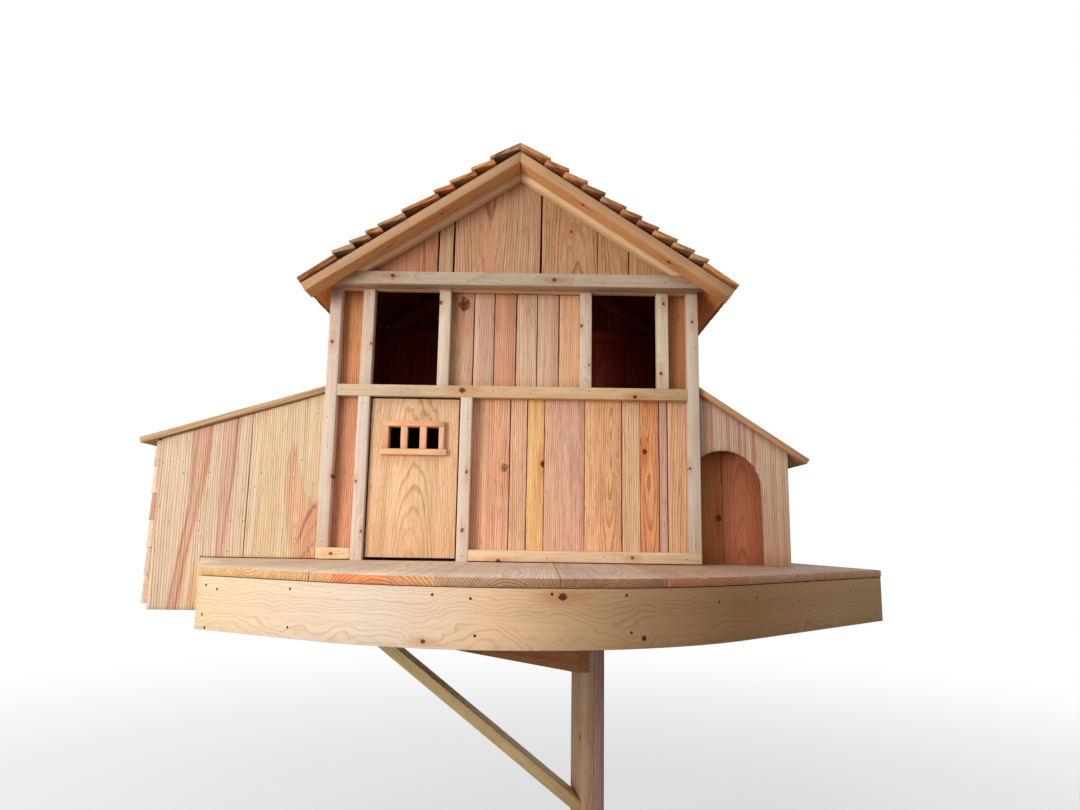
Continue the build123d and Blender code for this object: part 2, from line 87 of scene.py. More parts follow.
# A colour written as it is read on a screen, 0 to 255, as light: ((c + 0.055) / 1.055) ** 2.4.
def paint(colour):
    share = np.array(colour, float) / 255
    return np.where(share > 0.04, ((share + 0.055) / 1.055) ** 2.4, share / 12.92)


# Looks of one board: its colour, where the heart of the log runs, how it leans along the board, how close
# the rings are, how red the heart streaks are, and up to two knots as (across, along, radius, darkness).
def timber(colour, cut="flat", rings=1.0, heart=0.3, knots=(), spread=5.0, lean=None):
    shade = np.array(colour, float) + rng.normal(0, spread) + rng.normal(0, spread / 3, 3)
    side = rng.choice([-1, 1])
    if cut == "flat":
        cut = (rng.uniform(-30, 30), side * rng.uniform(45, 90))
    elif cut == "edge":
        cut = (side * rng.uniform(90, 170), rng.uniform(-20, 20))
    if lean is None:
        lean = (rng.normal(0, 0.008), rng.normal(0, 0.03))
    return {
        "colour": np.append(paint(np.clip(shade, 4, 252)), heart),
        "pith": cut,
        "lean": lean,
        "rings": rings * rng.uniform(0.85, 1.2),
        "start": rng.uniform(-40, 40),
        "knots": knots,
    }


# A size that is either a number or a function of two arrays.
def reading(size, first, second):
    return size(first, second) if callable(size) else np.full(first.shape, float(size))


# One sawn board: point = origin + run * U + side * V + up * W, where V and W go round a rectangle
# with eased corners and U goes from one end to the other. Ends may be functions of V and W, and
# faces functions of V and of the share of the length, 0 to 1. Waver moves both edges by sines of U.
def plank(place, along, across, deep, look, ease=1.6, cols=0, rows=3, waver=0.0, shear=()):
    v0, v1 = across
    inside = np.sort(np.append(np.linspace(v0 + ease, v1 - ease, cols + 2), shear))
    v = np.concatenate([[v0, v0 + 0.3 * ease], inside, [v1 - 0.3 * ease, v1]])
    n = len(v)
    inset = np.zeros(n)
    inset[[0, -1]] = ease
    inset[[1, -2]] = 0.3 * ease
    endInset = np.zeros((rows + 2, 1))
    endInset[[0, -1]] = ease
    share = np.concatenate([[0], np.linspace(0, 1, rows), [1]])[:, None]
    V = np.clip(np.tile(v, (rows + 2, 1)), v0 + endInset, v1 - endInset)
    rounding = np.maximum(inset, endInset)
    W = np.concatenate([reading(deep[1], V, share) - rounding, reading(deep[0], V, share) + rounding], 1)
    V = np.concatenate([V, V], 1)
    start, stop = (reading(end, V, W) for end in along)
    trim = np.where(endInset > 0, 0.0, ease)
    U = start + trim + (stop - start - 2 * trim) * share
    far = U - U.mean()
    grain = np.stack([
        (V - (v0 + v1) / 2 - look["pith"][0] + look["lean"][0] * far) * look["rings"],
        (W - look["pith"][1] + look["lean"][1] * far) * look["rings"],
        U + 1000 * look["start"],
    ], -1) / 1000
    spots = [np.full(V.shape + (3,), 99.0) for i in range(2)]
    for spot, (kv, ku, size, dark) in zip(spots, look["knots"]):
        spot[:] = np.stack([(V - kv) / size, (U - ku) / size, np.full(V.shape, dark)], -1)
    if waver:
        wave = rng.uniform(0, 2 * math.pi, 4)
        reach = U / rng.uniform(90, 150)
        right = np.clip((V - v0) / (v1 - v0), 0, 1)
        left = 0.5 + 0.25 * np.sin(reach + wave[0]) + 0.25 * np.sin(2.3 * reach + wave[1])
        other = 0.5 + 0.25 * np.sin(reach + wave[2]) + 0.25 * np.sin(2.1 * reach + wave[3])
        V = V + waver * ((1 - right) * left - right * other)
    if callable(place):
        points = place(U, V, W)
    else:
        origin, run, side, up = place
        points = origin + U[..., None] * run + V[..., None] * side + W[..., None] * up
    points = points.reshape(-1, 3)
    ring = np.concatenate([np.arange(n), np.arange(2 * n - 1, n - 1, -1)])
    after = np.roll(ring, -1)
    base = np.arange(rows + 1)[:, None] * 2 * n
    sides = np.stack([base + ring, base + after, base + 2 * n + after, base + 2 * n + ring], -1)
    k = np.arange(n - 1)
    foot = np.stack([k + 1, k, n + k, n + k + 1], -1)
    head = (rows + 1) * 2 * n + np.stack([k, k + 1, n + k + 1, n + k], -1)
    return {
        "points": points,
        "faces": outward(points, np.concatenate([sides.reshape(-1, 4), foot, head])),
        "grain": grain.reshape(-1, 3),
        "knotA": spots[0].reshape(-1, 3),
        "knotB": spots[1].reshape(-1, 3),
        "tint": np.tile(look["colour"], (len(points), 1)),
    }


# Faces turned outwards: their order is reversed where sum(p0 . (p1 x p2)) says the solid is inside out.
def outward(points, faces):
    a, b, c, d = (points[faces[:, i]] - points.mean(0) for i in range(4))
    volume = (a * np.cross(b, c)).sum() + (a * np.cross(c, d)).sum()
    return faces if volume > 0 else faces[:, ::-1]


# Boards side by side between seams, each with its own look, small uneven gap and step in depth.
def boarding(place, seams, looks, along, deep, gap=1.4, waver=0.9, step=0.5, rows=9, **more):
    made = []
    gaps = np.broadcast_to(gap, len(seams)) * rng.uniform(0.35, 0.6, len(seams))
    for i, (a, b) in between(seams):
        faces = (deep[0] + rng.uniform(0, step), deep[1])
        made.append(plank(place, along, (a + gaps[i], b - gaps[i + 1]), faces, looks[i], rows=rows,
                          waver=waver, **more))
    return made


# The seams taken two by two, counted.
def between(seams):
    return enumerate(zip(seams, seams[1:]))


# A streak of another colour on a finished board. It follows (across, height, half width) points, and its
# strength goes from 0 at the edge to 1 inside: s = (half width - distance) / softness, then 3 s^2 - 2 s^3.
def streak(part, line, ratio, soft=5.0):
    across, height, wide = np.array(line, float).T
    x, y, z = part["points"].T
    reach = np.interp(z, height, wide, left=-soft, right=-soft)
    share = np.clip((reach - np.abs(x - np.interp(z, height, across))) / soft, 0, 1)[:, None]
    part["tint"][:, :3] *= 1 + (np.array(ratio) - 1) * share * share * (3 - 2 * share)


# Colours at places along the house, each vertex takes the mix of its two neighbours: c0 + (c1 - c0) * share.
def shadeAlong(part, stops, which=slice(None)):
    places = [p for p, c in stops]
    colours = np.array([paint(c) for p, c in stops])
    x = part["points"][which, 0]
    part["tint"][which, :3] = np.stack([np.interp(x, places, colours[:, k]) for k in range(3)], -1)


# Painted shade, deep red, on the side of a board that is turned to the dark rooms: tint * ratio where the
# coordinate passes the limit.
def paintShadeIndoors(part, axis, limit, sign, ratio=(0.56, 0.11, 0.09)):
    inside = (part["points"][:, axis] - limit) * sign > 0
    part["tint"][inside, :3] *= ratio
    return part


def stand(name, data):
    made = bpy.data.objects.new(name, data)
    bpy.context.scene.collection.objects.link(made)
    return made


# Boards joined into one mesh, in metres, with their grain, knots and tint kept as attributes.
def makePiece(name, parts, finish, nodes=(), body="frame"):
    counts = np.cumsum([0] + [len(p["points"]) for p in parts])
    points = np.concatenate([p["points"] for p in parts]) / 1000 + home
    faces = np.concatenate([p["faces"] + c for p, c in zip(parts, counts)])
    mesh = bpy.data.meshes.new(name)
    mesh.vertices.add(len(points))
    mesh.vertices.foreach_set("co", points.astype(np.float32).ravel())
    mesh.loops.add(faces.size)
    mesh.loops.foreach_set("vertex_index", faces.astype(np.int32).ravel())
    mesh.polygons.add(len(faces))
    mesh.polygons.foreach_set("loop_start", np.arange(0, faces.size, faces.shape[1], dtype=np.int32))
    mesh.update(calc_edges=True)
    mesh.validate()
    for key in ("grain", "knotA", "knotB", "tint"):
        if key in parts[0]:
            kind = "FLOAT_COLOR" if key == "tint" else "FLOAT_VECTOR"
            layer = mesh.attributes.new(key, kind, "POINT")
            values = np.concatenate([p[key] for p in parts]).astype(np.float32)
            layer.data.foreach_set("color" if key == "tint" else "vector", values.ravel())
    mesh.materials.append(finish)
    piece = stand(name, mesh)
    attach(piece, body)
    if nodes:
        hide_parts(*nodes)
    return piece


# Finishes are wired from the small helpers below, in the node tree that was opened last.
bench = {}


def openTree(owner):
    owner.use_nodes = True
    bench["tree"] = owner.node_tree
    return owner.node_tree.nodes


def feed(node, feeds):
    for socket, value in dict(feeds).items():
        if isinstance(value, bpy.types.NodeSocket):
            bench["tree"].links.new(value, node.inputs[socket])
        else:
            node.inputs[socket].default_value = value


def wire(kind, feeds=(), **settings):
    made = bench["tree"].nodes.new("ShaderNode" + kind)
    for key, value in settings.items():
        setattr(made, key, value)
    feed(made, feeds)
    return made.outputs


def calc(operation, *values, clamp=False):
    return wire("Math", enumerate(values), operation=operation, use_clamp=clamp)[0]


def times(*values, clamp=False):
    return calc("MULTIPLY", *values, clamp=clamp)


def timesPlus(*values, clamp=False):
    return calc("MULTIPLY_ADD", *values, clamp=clamp)


def apart(x, y):      # sqrt(x^2 + y^2)
    return calc("SQRT", timesPlus(x, x, times(y, y)))


def ramp(value, low, high, toLow=0.0, toHigh=1.0):
    return wire("MapRange", {0: value, 1: low, 2: high, 3: toLow, 4: toHigh},
                interpolation_type="SMOOTHSTEP")[0]


def blend(factor, first, second, mode="MIX"):
    return wire("Mix", {0: factor, 6: first, 7: second}, data_type="RGBA", blend_type=mode)[2]


def stain(colour, share, tint):      # towards colour * tint
    return blend(share, colour, blend(1.0, colour, (*tint, 1.0), "MULTIPLY"))


def speckle(vector, stretch, detail=2.0, rough=0.5, output="Fac"):
    mapped = wire("Mapping", {0: vector, 3: stretch})[0]
    return wire("TexNoise", {"Vector": mapped, "Scale": 1.0, "Detail": detail, "Roughness": rough})[output]


def runs(value, detail, rough=0.5):      # noise along one value, for runs of rings
    feeds = {"W": value, "Scale": 1.0, "Detail": detail, "Roughness": rough}
    return wire("TexNoise", feeds, noise_dimensions="1D")["Fac"]


# Wood: rings round the log's heart, r = sqrt(p^2 + q^2), wander slowly along the board and swing round
# the knots. Each ring goes from pale to a thin dark line near its end, and runs of rings are red. Fibres,
# short dark pores and small specks lie over them, and end grain shows its rings darker.
def wood(name, ringGap=6.0, contrast=0.5, late=(0.62, 0.42, 0.3), heartTint=(0.9, 0.68, 0.58), line=0.5,
         wander=0.016, drift=(7.0, 1.5), pores=0.3, fibre=0.6, rough=0.62, dirt=0.15,
         dirtTint=(0.62, 0.56, 0.52), relief=0.35, specks=0.4, ends=0.0, coarse=1.0):
    finish = bpy.data.materials.new(name)
    shader = openTree(finish)["Principled BSDF"]
    grain = wire("Attribute", attribute_name="grain")["Vector"]
    tint = wire("Attribute", attribute_name="tint")
    place = wire("TexCoord")["Object"]
    slow = speckle(grain, (drift[0], drift[0], drift[1]), 3.0, output="Color")
    sway = wire("SeparateColor", {0: slow})
    parts = wire("SeparateXYZ", {0: grain})
    p, q = (timesPlus(calc("SUBTRACT", sway[i], 0.5), wander * 2, parts[i]) for i in (0, 1))
    radius = timesPlus(speckle(grain, (60.0, 60.0, 14.0)), 0.0028, apart(p, q))
    core = 0.0
    halo = 0.0
    for spot in ("knotA", "knotB"):
        field = wire("Attribute", attribute_name=spot)["Vector"]
        x, y, depth = wire("SeparateXYZ", {0: field})
        ragged = wire("SeparateColor", {0: speckle(field, (1.1, 0.9, 1.0), 3.0, 0.62, "Color")})
        kx = timesPlus(calc("SUBTRACT", ragged[0], 0.5), 1.5, x)
        ky = times(timesPlus(calc("SUBTRACT", ragged[1], 0.5), 1.5, y), 0.8)
        far = apart(kx, ky)
        longFar = apart(kx, times(ky, 0.36))
        dark = calc("MODULO", depth, 1.5)      # 0 where the board has no knot
        radius = timesPlus(ramp(longFar, 4.6, 0.3), 0.011, radius)
        turns = times(ramp(calc("FRACT", times(far, 3.3)), 0.3, 0.9), 0.35)
        eye = calc("ADD", ramp(far, 0.6, 0.2, 0.0, 0.35), ramp(ragged[2], 0.5, 0.66, 0.0, 0.6))
        full = calc("ADD", calc("ADD", turns, 0.58), eye)
        full = times(times(full, ramp(far, 1.12, 0.86)), dark, clamp=True)
        glow = times(ramp(longFar, 3.2, 0.9), times(dark, 0.6), clamp=True)
        glow = times(glow, calc("LESS_THAN", far, 30.0))
        core = calc("MAXIMUM", core, full)
        halo = calc("MAXIMUM", halo, glow)
    phase = times(radius, 1000.0 / ringGap)
    turn = calc("FRACT", phase)
    grown = times(ramp(turn, line, 0.86), ramp(turn, 1.0, 0.93))
    grown = times(grown, ramp(runs(times(phase, 0.41), 2.0), 0.3, 0.62, 0.3, 1.0))
    fine = speckle(grain, (520.0 / coarse, 520.0 / coarse, 8.0), 3.0, 0.6)
    broad = speckle(grain, (95.0, 95.0, 1.3))
    dash = speckle(grain, (330.0 / coarse, 330.0 / coarse, 17.0), 1.0, 0.4)
    grown = times(grown, ramp(fine, 0.3, 0.55, 0.55, 1.0))
    reds = runs(timesPlus(phase, 0.13, times(sway[2], 1.5)), 3.0, 0.6)
    colour = stain(tint["Color"], times(ramp(reds, 0.47, 0.6), tint["Alpha"], clamp=True), heartTint)
    strong = times(grown, contrast, clamp=True)
    if ends:
        facing = wire("SeparateXYZ", {0: wire("NewGeometry")["Normal"]})
        cutEnd = ramp(calc("ABSOLUTE", facing[2]), 0.7, 0.3)
        strong = timesPlus(times(grown, cutEnd), ends, strong, clamp=True)
    colour = stain(colour, strong, late)
    bands = wire("CombineColor", {
        i: ramp(broad, 0.3, 0.7, 1.0 - 0.16 * fibre * (1 + 0.25 * i), 1.0 + 0.08 * fibre)
        for i in range(3)})[0]
    colour = blend(1.0, colour, bands, "MULTIPLY")
    colour = blend(1.0, colour, ramp(fine, 0.3, 0.7, 1.0 - 0.2 * fibre, 1.0 + 0.1 * fibre), "MULTIPLY")
    poreMask = times(ramp(dash, 0.6, 0.72), pores)
    colour = stain(colour, poreMask, (0.36, 0.24, 0.16))
    patch = speckle(place, (5.0, 5.0, 5.0), 4.0, 0.6)
    colour = stain(colour, times(ramp(patch, 0.5, 0.72), dirt), dirtTint)
    cells = wire("TexVoronoi", {"Vector": place, "Scale": 15.0, "Randomness": 1.0})
    chance = wire("SeparateColor", {0: cells["Color"]})[0]
    pit = times(ramp(cells["Distance"], 0.05, 0.025), times(ramp(chance, 0.55, 0.9), specks), clamp=True)
    colour = stain(colour, halo, (0.88, 0.66, 0.52))
    colour = stain(colour, calc("MAXIMUM", core, pit), (0.17, 0.08, 0.05))
    height = calc("SUBTRACT", timesPlus(grown, 0.6, times(fine, 0.7)), times(poreMask, 1.5))
    feed(shader, {
        "Base Color": colour,
        "Roughness": calc("ADD", times(fine, 0.16), rough - 0.08),
        "Specular IOR Level": 0.28,
        "Normal": wire("Bump", {"Strength": relief, "Distance": 0.0008, "Height": height})[0],
    })
    return finish


# Steel of the hinges and fasteners, brushed and a little dulled.
def steel(name, colour, rough, wear):
    finish = bpy.data.materials.new(name)
    shader = openTree(finish)["Principled BSDF"]
    place = wire("TexCoord")["Object"]
    brushed = speckle(place, (300.0, 300.0, 3000.0))
    dull = times(ramp(speckle(place, (90.0, 90.0, 90.0), 4.0, 0.6), 0.48, 0.66), wear)
    feed(shader, {
        "Metallic": 1.0,
        "Base Color": blend(dull, (*paint(colour), 1.0), (*paint((92, 66, 46)), 1.0)),
        "Roughness": timesPlus(brushed, 0.25, rough - 0.1),
        "Normal": wire("Bump", {"Strength": 0.3, "Distance": 0.0002, "Height": brushed})[0],
    })
    return finish


print("finishes")
planedPine = wood("planedPine", 5.5, 0.4, (0.76, 0.58, 0.42), fibre=0.45, pores=0.12, dirt=0.25, relief=0.25,
                  specks=0.5)
wingPine = wood("wingPine", 7.5, 1.0, (0.62, 0.39, 0.28), (0.9, 0.66, 0.56), specks=0.8)
roughCedar = wood("roughCedar", 7.0, 0.95, (0.62, 0.4, 0.27), fibre=0.8, pores=0.45, dirt=0.12)
widePine = wood("widePine", 7.5, 0.78, (0.72, 0.48, 0.32), (0.9, 0.66, 0.56), 0.55, fibre=0.55, pores=0.25,
                dirt=0.1, specks=0.6)
rimPine = wood("rimPine", 6.0, 0.56, (0.74, 0.57, 0.42), line=0.6, wander=0.05, drift=(6.5, 3.6), fibre=0.22,
               pores=0.05, dirt=0.08, relief=0.2, specks=0.3)
deckPine = wood("deckPine", 5.6, 0.55, (0.62, 0.42, 0.28), pores=0.2, dirt=0.5, dirtTint=(0.68, 0.62, 0.6),
                ends=0.8)
beamFir = wood("beamFir", 4.5, fibre=0.7, pores=0.2, dirt=0.3)
splitCedar = wood("splitCedar", 5.0, 0.9, (0.5, 0.34, 0.24), (0.9, 0.72, 0.6), fibre=1.5, pores=0.9,
                  rough=0.78, dirt=0.6, dirtTint=(0.55, 0.52, 0.5), relief=0.9, coarse=2.2)
sheathPine = wood("sheathPine", fibre=0.7, dirt=0.3)
hingeSteel = steel("hingeSteel", (176, 176, 174), 0.36, 0.25)
darkSteel = steel("darkSteel", (74, 62, 54), 0.5, 0.5)

# Supports
supports = {
    "postAt": (280.0, 468.0),
    "postTurn": math.radians(17.0),
    "postFoot": -1250.0,
    "postHalf": 70.0,
    "postPlanks": [(198, 166, 138), (184, 144, 138)],
    "postKnots": [(-30, -620, 9, 0.8), (35, -260, 7, 0.6)],
    "seat": -108.0,
    "beamFoot": -394.0,
    "beamHeading": math.radians(134.3),
    "beamTip": (-27.0, -6.0),
    "beamClip": 37.0,
    "beamBack": 900.0,
    "beam": (168, 113, 74),
    "braceTop": -758.0,
    "braceFall": math.radians(37.3),
    "braceWide": (415.5, 504.5),
    "brace": (214, 190, 140),
}
print("supports")
turn = supports["postTurn"]
seat = supports["seat"]
postHalf = supports["postHalf"]
postWide = np.array([-math.sin(turn), math.cos(turn), 0.0])
postDeep = np.array([math.cos(turn), math.sin(turn), 0.0])
postAxis = (np.array([*supports["postAt"], 0.0]), above, postWide, postDeep)
for name, node, side, shade, deep in (
        ("postPlankLeft", "post_plank_left", -1, supports["postPlanks"][0], (-stick, 0.0)),
        ("postPlankRight", "post_plank_right", 1, supports["postPlanks"][1], (0.0, stick))):
    look = timber(shade, cut=(18, 40 * side), heart=0.35, knots=supports["postKnots"])
    post = plank(postAxis, (supports["postFoot"], seat), (-postHalf, postHalf), deep, look, ease=2.4, rows=6)
    makePiece(name, [post], beamFir, [node])

beamRun = np.array([math.cos(supports["beamHeading"]), math.sin(supports["beamHeading"]), 0.0])
beamOut = np.array([-beamRun[1], beamRun[0], 0.0])
beamStart = postAxis[0] - stick * postDeep - postHalf * postWide + np.array([*supports["beamTip"], 0.0])


# The beam's end is level with its tip, and clipped where it would pass the post's corner.
def beamFoot(v, w):
    return np.maximum(-v * beamOut[1] / beamRun[1], (supports["beamClip"] - v * beamOut[0]) / beamRun[0])


def beamHead(v, w):      # cut along the deck's back
    return (supports["beamBack"] - beamStart[1] - v * beamOut[1]) / beamRun[1]


beamLook = timber(supports["beam"], cut=(60, -250), heart=0.6, lean=(0.0, 0.01))
beam = plank((beamStart, beamRun, beamOut, above), (beamFoot, beamHead), (-stick, 0),
             (supports["beamFoot"], seat), beamLook, ease=2.4, cols=6, rows=6, shear=[-26.5])
makePiece("crossBeam", [beam], beamFir, ["cross_beam"])

fall = supports["braceFall"]
braceAxis = (np.array([supports["braceTop"], 0.0, seat]), np.array([math.cos(fall), 0.0, -math.sin(fall)]),
             north, np.array([math.sin(fall), 0.0, math.cos(fall)]))


def braceHead(v, w):      # level under the joists
    return w / math.tan(fall)


def braceEnd(v, w):      # flat on the post's face
    x = supports["postAt"][0] + (-stick - (v - supports["postAt"][1]) * math.sin(turn)) / math.cos(turn)
    return (x - supports["braceTop"] - w * math.sin(fall)) / math.cos(fall)


braceLook = timber(supports["brace"], heart=0.1)
brace = plank(braceAxis, (braceHead, braceEnd), supports["braceWide"], (0, stick), braceLook, ease=2.0,
              cols=2, rows=5)
makePiece("kneeBrace", [brace], beamFir, ["knee_brace"])

# Deck
deck = {
    "bend": (4.5, 8.0),
    "radius": 856.0,
    "rimRadius": 854.0,
    "rimFoot": -146.0,
    "leftTurn": math.radians(28.0),
    "rightTurn": math.radians(42.6),
    "leftRun": 376.0,
    "rightRun": 716.0,
    "left": -985.0,
    "backRight": 930.0,
    "back": 900.0,
    "wingFront": 38.0,
    "seams": [-985, -735, -414, -120, 141, 375, 595, 822, 1110.6],
    "gaps": [0.0, 0.2, 0.9, 0.2, 1.0, 0.8, 0.2, 0.3, 0.0],
    "knots": {2: [(-20, -700, 9, 0.5)], 4: [(520, -300, 9, 0.5)]},
    "boardColours": [(238, 216, 190), (236, 216, 188), (240, 218, 194), (229, 207, 189), (214, 188, 171),
                     (202, 166, 144), (190, 158, 138), (182, 150, 130)],
    "joists": (-620.0, -260.0, 100.0, 460.0, 881.0),
    "joistColour": (206, 176, 138),
    "rimColour": (238, 204, 160),
    "rimKnots": [(-131.6, -147.8, 4.5, 1.3), (-37.7, 141.3, 7.5, 1.45)],
    # The rim's colour along its length: its own tone, with painted shade that darkens it towards the right
    # where the bend turns from the light.
    "rimToneAndShade": [(-700, (220, 196, 162)), (-530, (219, 196, 168)), (-240, (216, 196, 179)),
                 (-15, (231, 196, 160)), (150, (206, 168, 128)), (285, (184, 144, 106)),
                 (570, (172, 130, 84)), (900, (190, 148, 104)), (1111, (186, 146, 100))],
    "edgeStops": [(-729, (226, 184, 128)), (-560, (222, 182, 134)), (-470, (216, 172, 120)),
                  (-416, (214, 170, 116)), (-412, (222, 172, 126)), (-365, (224, 172, 122)),
                  (-350, (228, 138, 82)), (-250, (232, 146, 88)), (-195, (228, 162, 110)),
                  (-122, (220, 168, 122)), (-118, (200, 162, 128)), (60, (196, 156, 122)),
                  (139, (176, 134, 104)), (143, (172, 128, 102)), (300, (184, 136, 110)),
                  (372, (166, 118, 92)), (378, (206, 136, 104)), (592, (214, 142, 108)),
                  (598, (206, 158, 132)), (820, (214, 166, 138)), (824, (206, 158, 122)),
                  (1111, (214, 170, 134))],
}
print("deck")
bendX, bendY = deck["bend"]
rimRadius = deck["rimRadius"]
rimFoot = deck["rimFoot"]


# The deck's front edge: angle = length / radius, held at the two ends of the bend, and the length left over
# runs straight on. x = middle + r * sin(angle) + over * cos(angle), and
# y = middle - r * cos(angle) + over * sin(angle).
def edgePoint(run, radius):
    angle = np.clip(run / rimRadius, -deck["leftTurn"], deck["rightTurn"])
    over = run - angle * rimRadius
    x = bendX + radius * np.sin(angle) + over * np.cos(angle)
    y = bendY - radius * np.cos(angle) + over * np.sin(angle)
    return x, y


rimRun = np.linspace(-rimRadius * deck["leftTurn"] - deck["leftRun"],
                     rimRadius * deck["rightTurn"] + deck["rightRun"], 900)
frontX, frontY = edgePoint(rimRun, deck["radius"] - 0.3)
backX, backY = edgePoint(rimRun, deck["radius"] - 21)
lowest = np.argmin(backY)
skewLean = (deck["left"] - frontX[0]) / (deck["wingFront"] - frontY[0])
sideLean = (deck["backRight"] - frontX[-1]) / (deck["back"] - frontY[-1])


def deckFront(v, w):      # y on the front edge at x = v
    return np.interp(v, np.append(deck["left"], frontX), np.append(deck["wingFront"], frontY))


def deckBack(v, w):      # the back, or the slanting right side
    return np.minimum(deck["back"], deck["back"] + (v - deck["backRight"]) / sideLean)


deckBoards = []
for i, (a, b) in between(deck["seams"]):
    look = timber(deck["boardColours"][i], rings=0.9, heart=0.35, knots=deck["knots"].get(i, ()), spread=3)
    corner = [deck["backRight"]] if a < deck["backRight"] < b else ()
    made = plank(decking, (deckFront, deckBack), (a + deck["gaps"][i], b - deck["gaps"][i + 1]), (-board, 0),
                 look, ease=0.9, cols=22, rows=9, shear=corner)
    frontRow = np.arange(len(made["points"])) < len(made["points"]) // 11
    shadeAlong(made, deck["edgeStops"], frontRow)
    deckBoards.append(made)
makePiece("deckBoards", deckBoards, deckPine, ["deck_floor"])


# A joist ends inside the rim: x of the rim's back where it is bent, and of the side boards behind that.
def joistLeft(v, w):
    front = np.interp(w, backY[lowest::-1], backX[lowest::-1])
    skew = deck["left"] + board * math.hypot(1, skewLean) + (w - deck["wingFront"]) * skewLean
    bent = np.maximum(np.where(w < backY[0], front, -2000.0), skew)
    return np.where(w < deck["wingFront"], bent, deck["left"] + board)


def joistRight(v, w):
    front = np.interp(w, backY[lowest:], backX[lowest:])
    side = deck["backRight"] - board * math.hypot(1, sideLean) + (w - deck["back"]) * sideLean
    return np.minimum(np.where(w < backY[-1], front, 2000.0), side)


joists = [plank(level, (joistLeft, joistRight), (seat, -board), (y - stick / 2, y + stick / 2),
                timber(deck["joistColour"], cut="edge", heart=0.2), ease=2.0, rows=5) for y in deck["joists"]]
makePiece("deckJoists", joists[:4], beamFir, ["deck_joists"])
makePiece("rearLedger", joists[4:], beamFir, ["rear_ledger"])


def bentRim(u, v, w):
    x, y = edgePoint(u, w)
    return np.stack([x, y, v], -1)


rimLook = timber(deck["rimColour"], cut=(-75, rimRadius - 60), rings=0.8, heart=0.06, spread=0,
                 lean=(0.0, 0.0), knots=deck["rimKnots"])
rimLook["start"] = 0.0
rim = plank(bentRim, (rimRun[0], rimRun[-1]), (rimFoot, -board - 2.2), (rimRadius - board, rimRadius),
            rimLook, ease=1.2, cols=3, rows=90)
# The rim's own tone plus painted shade towards the right.
shadeAlong(rim, deck["rimToneAndShade"])
makePiece("bentRim", [rim], rimPine, ["rim_fascia"])


# A straight rim board whose foot is shaped to the bent board: foot = run at each depth from its outer face.
def sideBoard(start, end, inside, foot):
    run = np.append(np.array(end) - start, 0.0)
    run /= np.linalg.norm(run)
    deep = np.array([run[1], -run[0], 0.0]) * inside
    place = (np.append(start, 0.0), run, above, deep)

    def stop(v, w):
        return (end[1] - start[1] - w * deep[1]) / run[1]

    return plank(place, (lambda v, w: np.interp(w, *foot), stop), (rimFoot, -board), (0, board - 1.2),
                 timber(deck["rimColour"], rings=0.7, heart=0.1), rows=5)


skewBoard = sideBoard(np.array(edgePoint(rimRun[0], rimRadius)), np.array([deck["left"], deck["wingFront"]]),
                      1, ([0, 14.7, 17.8], [0, 12.0, 8.6]))
makePiece("skewRim", [skewBoard], rimPine, ["left_skew_rim"])
rightRim = sideBoard(np.array(edgePoint(rimRun[-1], rimRadius)), np.array([deck["backRight"], deck["back"]]),
                     -1, ([0, 10.3, 17.8], [0, 16.0, 11.0]))
leftRim = plank(inward, (deck["wingFront"], deck["back"]), (rimFoot, -board),
                (deck["left"], deck["left"] + board), timber(deck["rimColour"], rings=0.7, heart=0.1), rows=5)
makePiece("sideRims", [leftRim, rightRim], rimPine, ["side_rims"])

# House frame of square sticks
sticks = {
    "pale": (218, 201, 182),
    "warm": (232, 200, 162),
    "shade": (214, 184, 148),
    "doorStuds": (-501, -167),
    "railLift": 3.0,
    "midStops": [(-573, (203, 185, 158)), (-330, (205, 185, 155)), (-100, (215, 182, 141)),
                 (573, (216, 181, 138))],
    "windowStuds": {-500.5: [(-468, 700, 4, 1.0)], -247.5: [(-242.9, 843.1, 6, 1.1)],
                    220.0: [(224, 771.3, 5, 1.1), (250, 640, 4, 0.9)],
                    473.0: [(495.1, 851.4, 5, 1.2), (485.2, 614.7, 5, 1.3)]},
}
print("house frame")
studLeft, studRight = sticks["doorStuds"]


def square(place, along, v, w, colour=sticks["pale"], knots=(), lift=0.0, **more):
    look = timber(colour, cut=(rng.uniform(-14, 14), rng.choice([-1, 1]) * rng.uniform(18, 40)), rings=1.2,
                  heart=0.18, knots=knots, spread=4)
    return plank(place, along, (v + lift, v + stick), (w, w + stick), look, ease=2.2, rows=6, **more)


posts = [
    square(upright, (stick, plate), -half, 0, (222, 203, 186),
           [(-571.5, 263.6, 5, 1.0), (-596, 705, 5, 1.2)]),
    square(upright, (stick, plate), inner, 0, (214, 195, 179),
           [(589.4, 789.9, 4, 1.2), (575.2, 304.6, 4, 1.1)]),
    square(upright, (stick, plate), -half, backStick, sticks["shade"]),
    square(upright, (stick, plate), inner, backStick, sticks["shade"]),
]
makePiece("cornerPosts", posts, planedPine, ["corner_posts"])
bottomRails = [
    square(level, (-half, studLeft), 0, 0, (236, 208, 172), [(19, -560, 5, 1.1)], sticks["railLift"]),
    square(level, (studRight + stick, half), 0, 0, (226, 198, 160),
           [(4.5, -32.4, 6, 1.35), (20.3, 389.4, 4, 1.4)], sticks["railLift"]),
]
makePiece("frontBottomRails", bottomRails, planedPine, ["front_bottom_rails"])
doorStuds = [
    square(upright, (0, midRail), studLeft, 0, (220, 202, 186), [(-494, 248.5, 4, 1.1), (-470, 90, 4, 0.9)]),
    square(upright, (0, midRail), studRight, 0, (231, 217, 203),
           [(-149.5, 98.9, 6, 1.0), (-141, 283, 5, 1.0)]),
]
makePiece("doorStuds", doorStuds, planedPine, ["door_studs"])
rail = square(level, (-inner, inner), midRail, 0, (216, 181, 138), [(548, -162, 9, 1.2), (535, 400, 6, 1.45)])
shadeAlong(rail, sticks["midStops"])
makePiece("frontMidRail", [rail], planedPine, ["front_mid_rail"])
windowStuds = [square(upright, (floorTop, plate), x, 0, knots=knots)
               for x, knots in sticks["windowStuds"].items()]
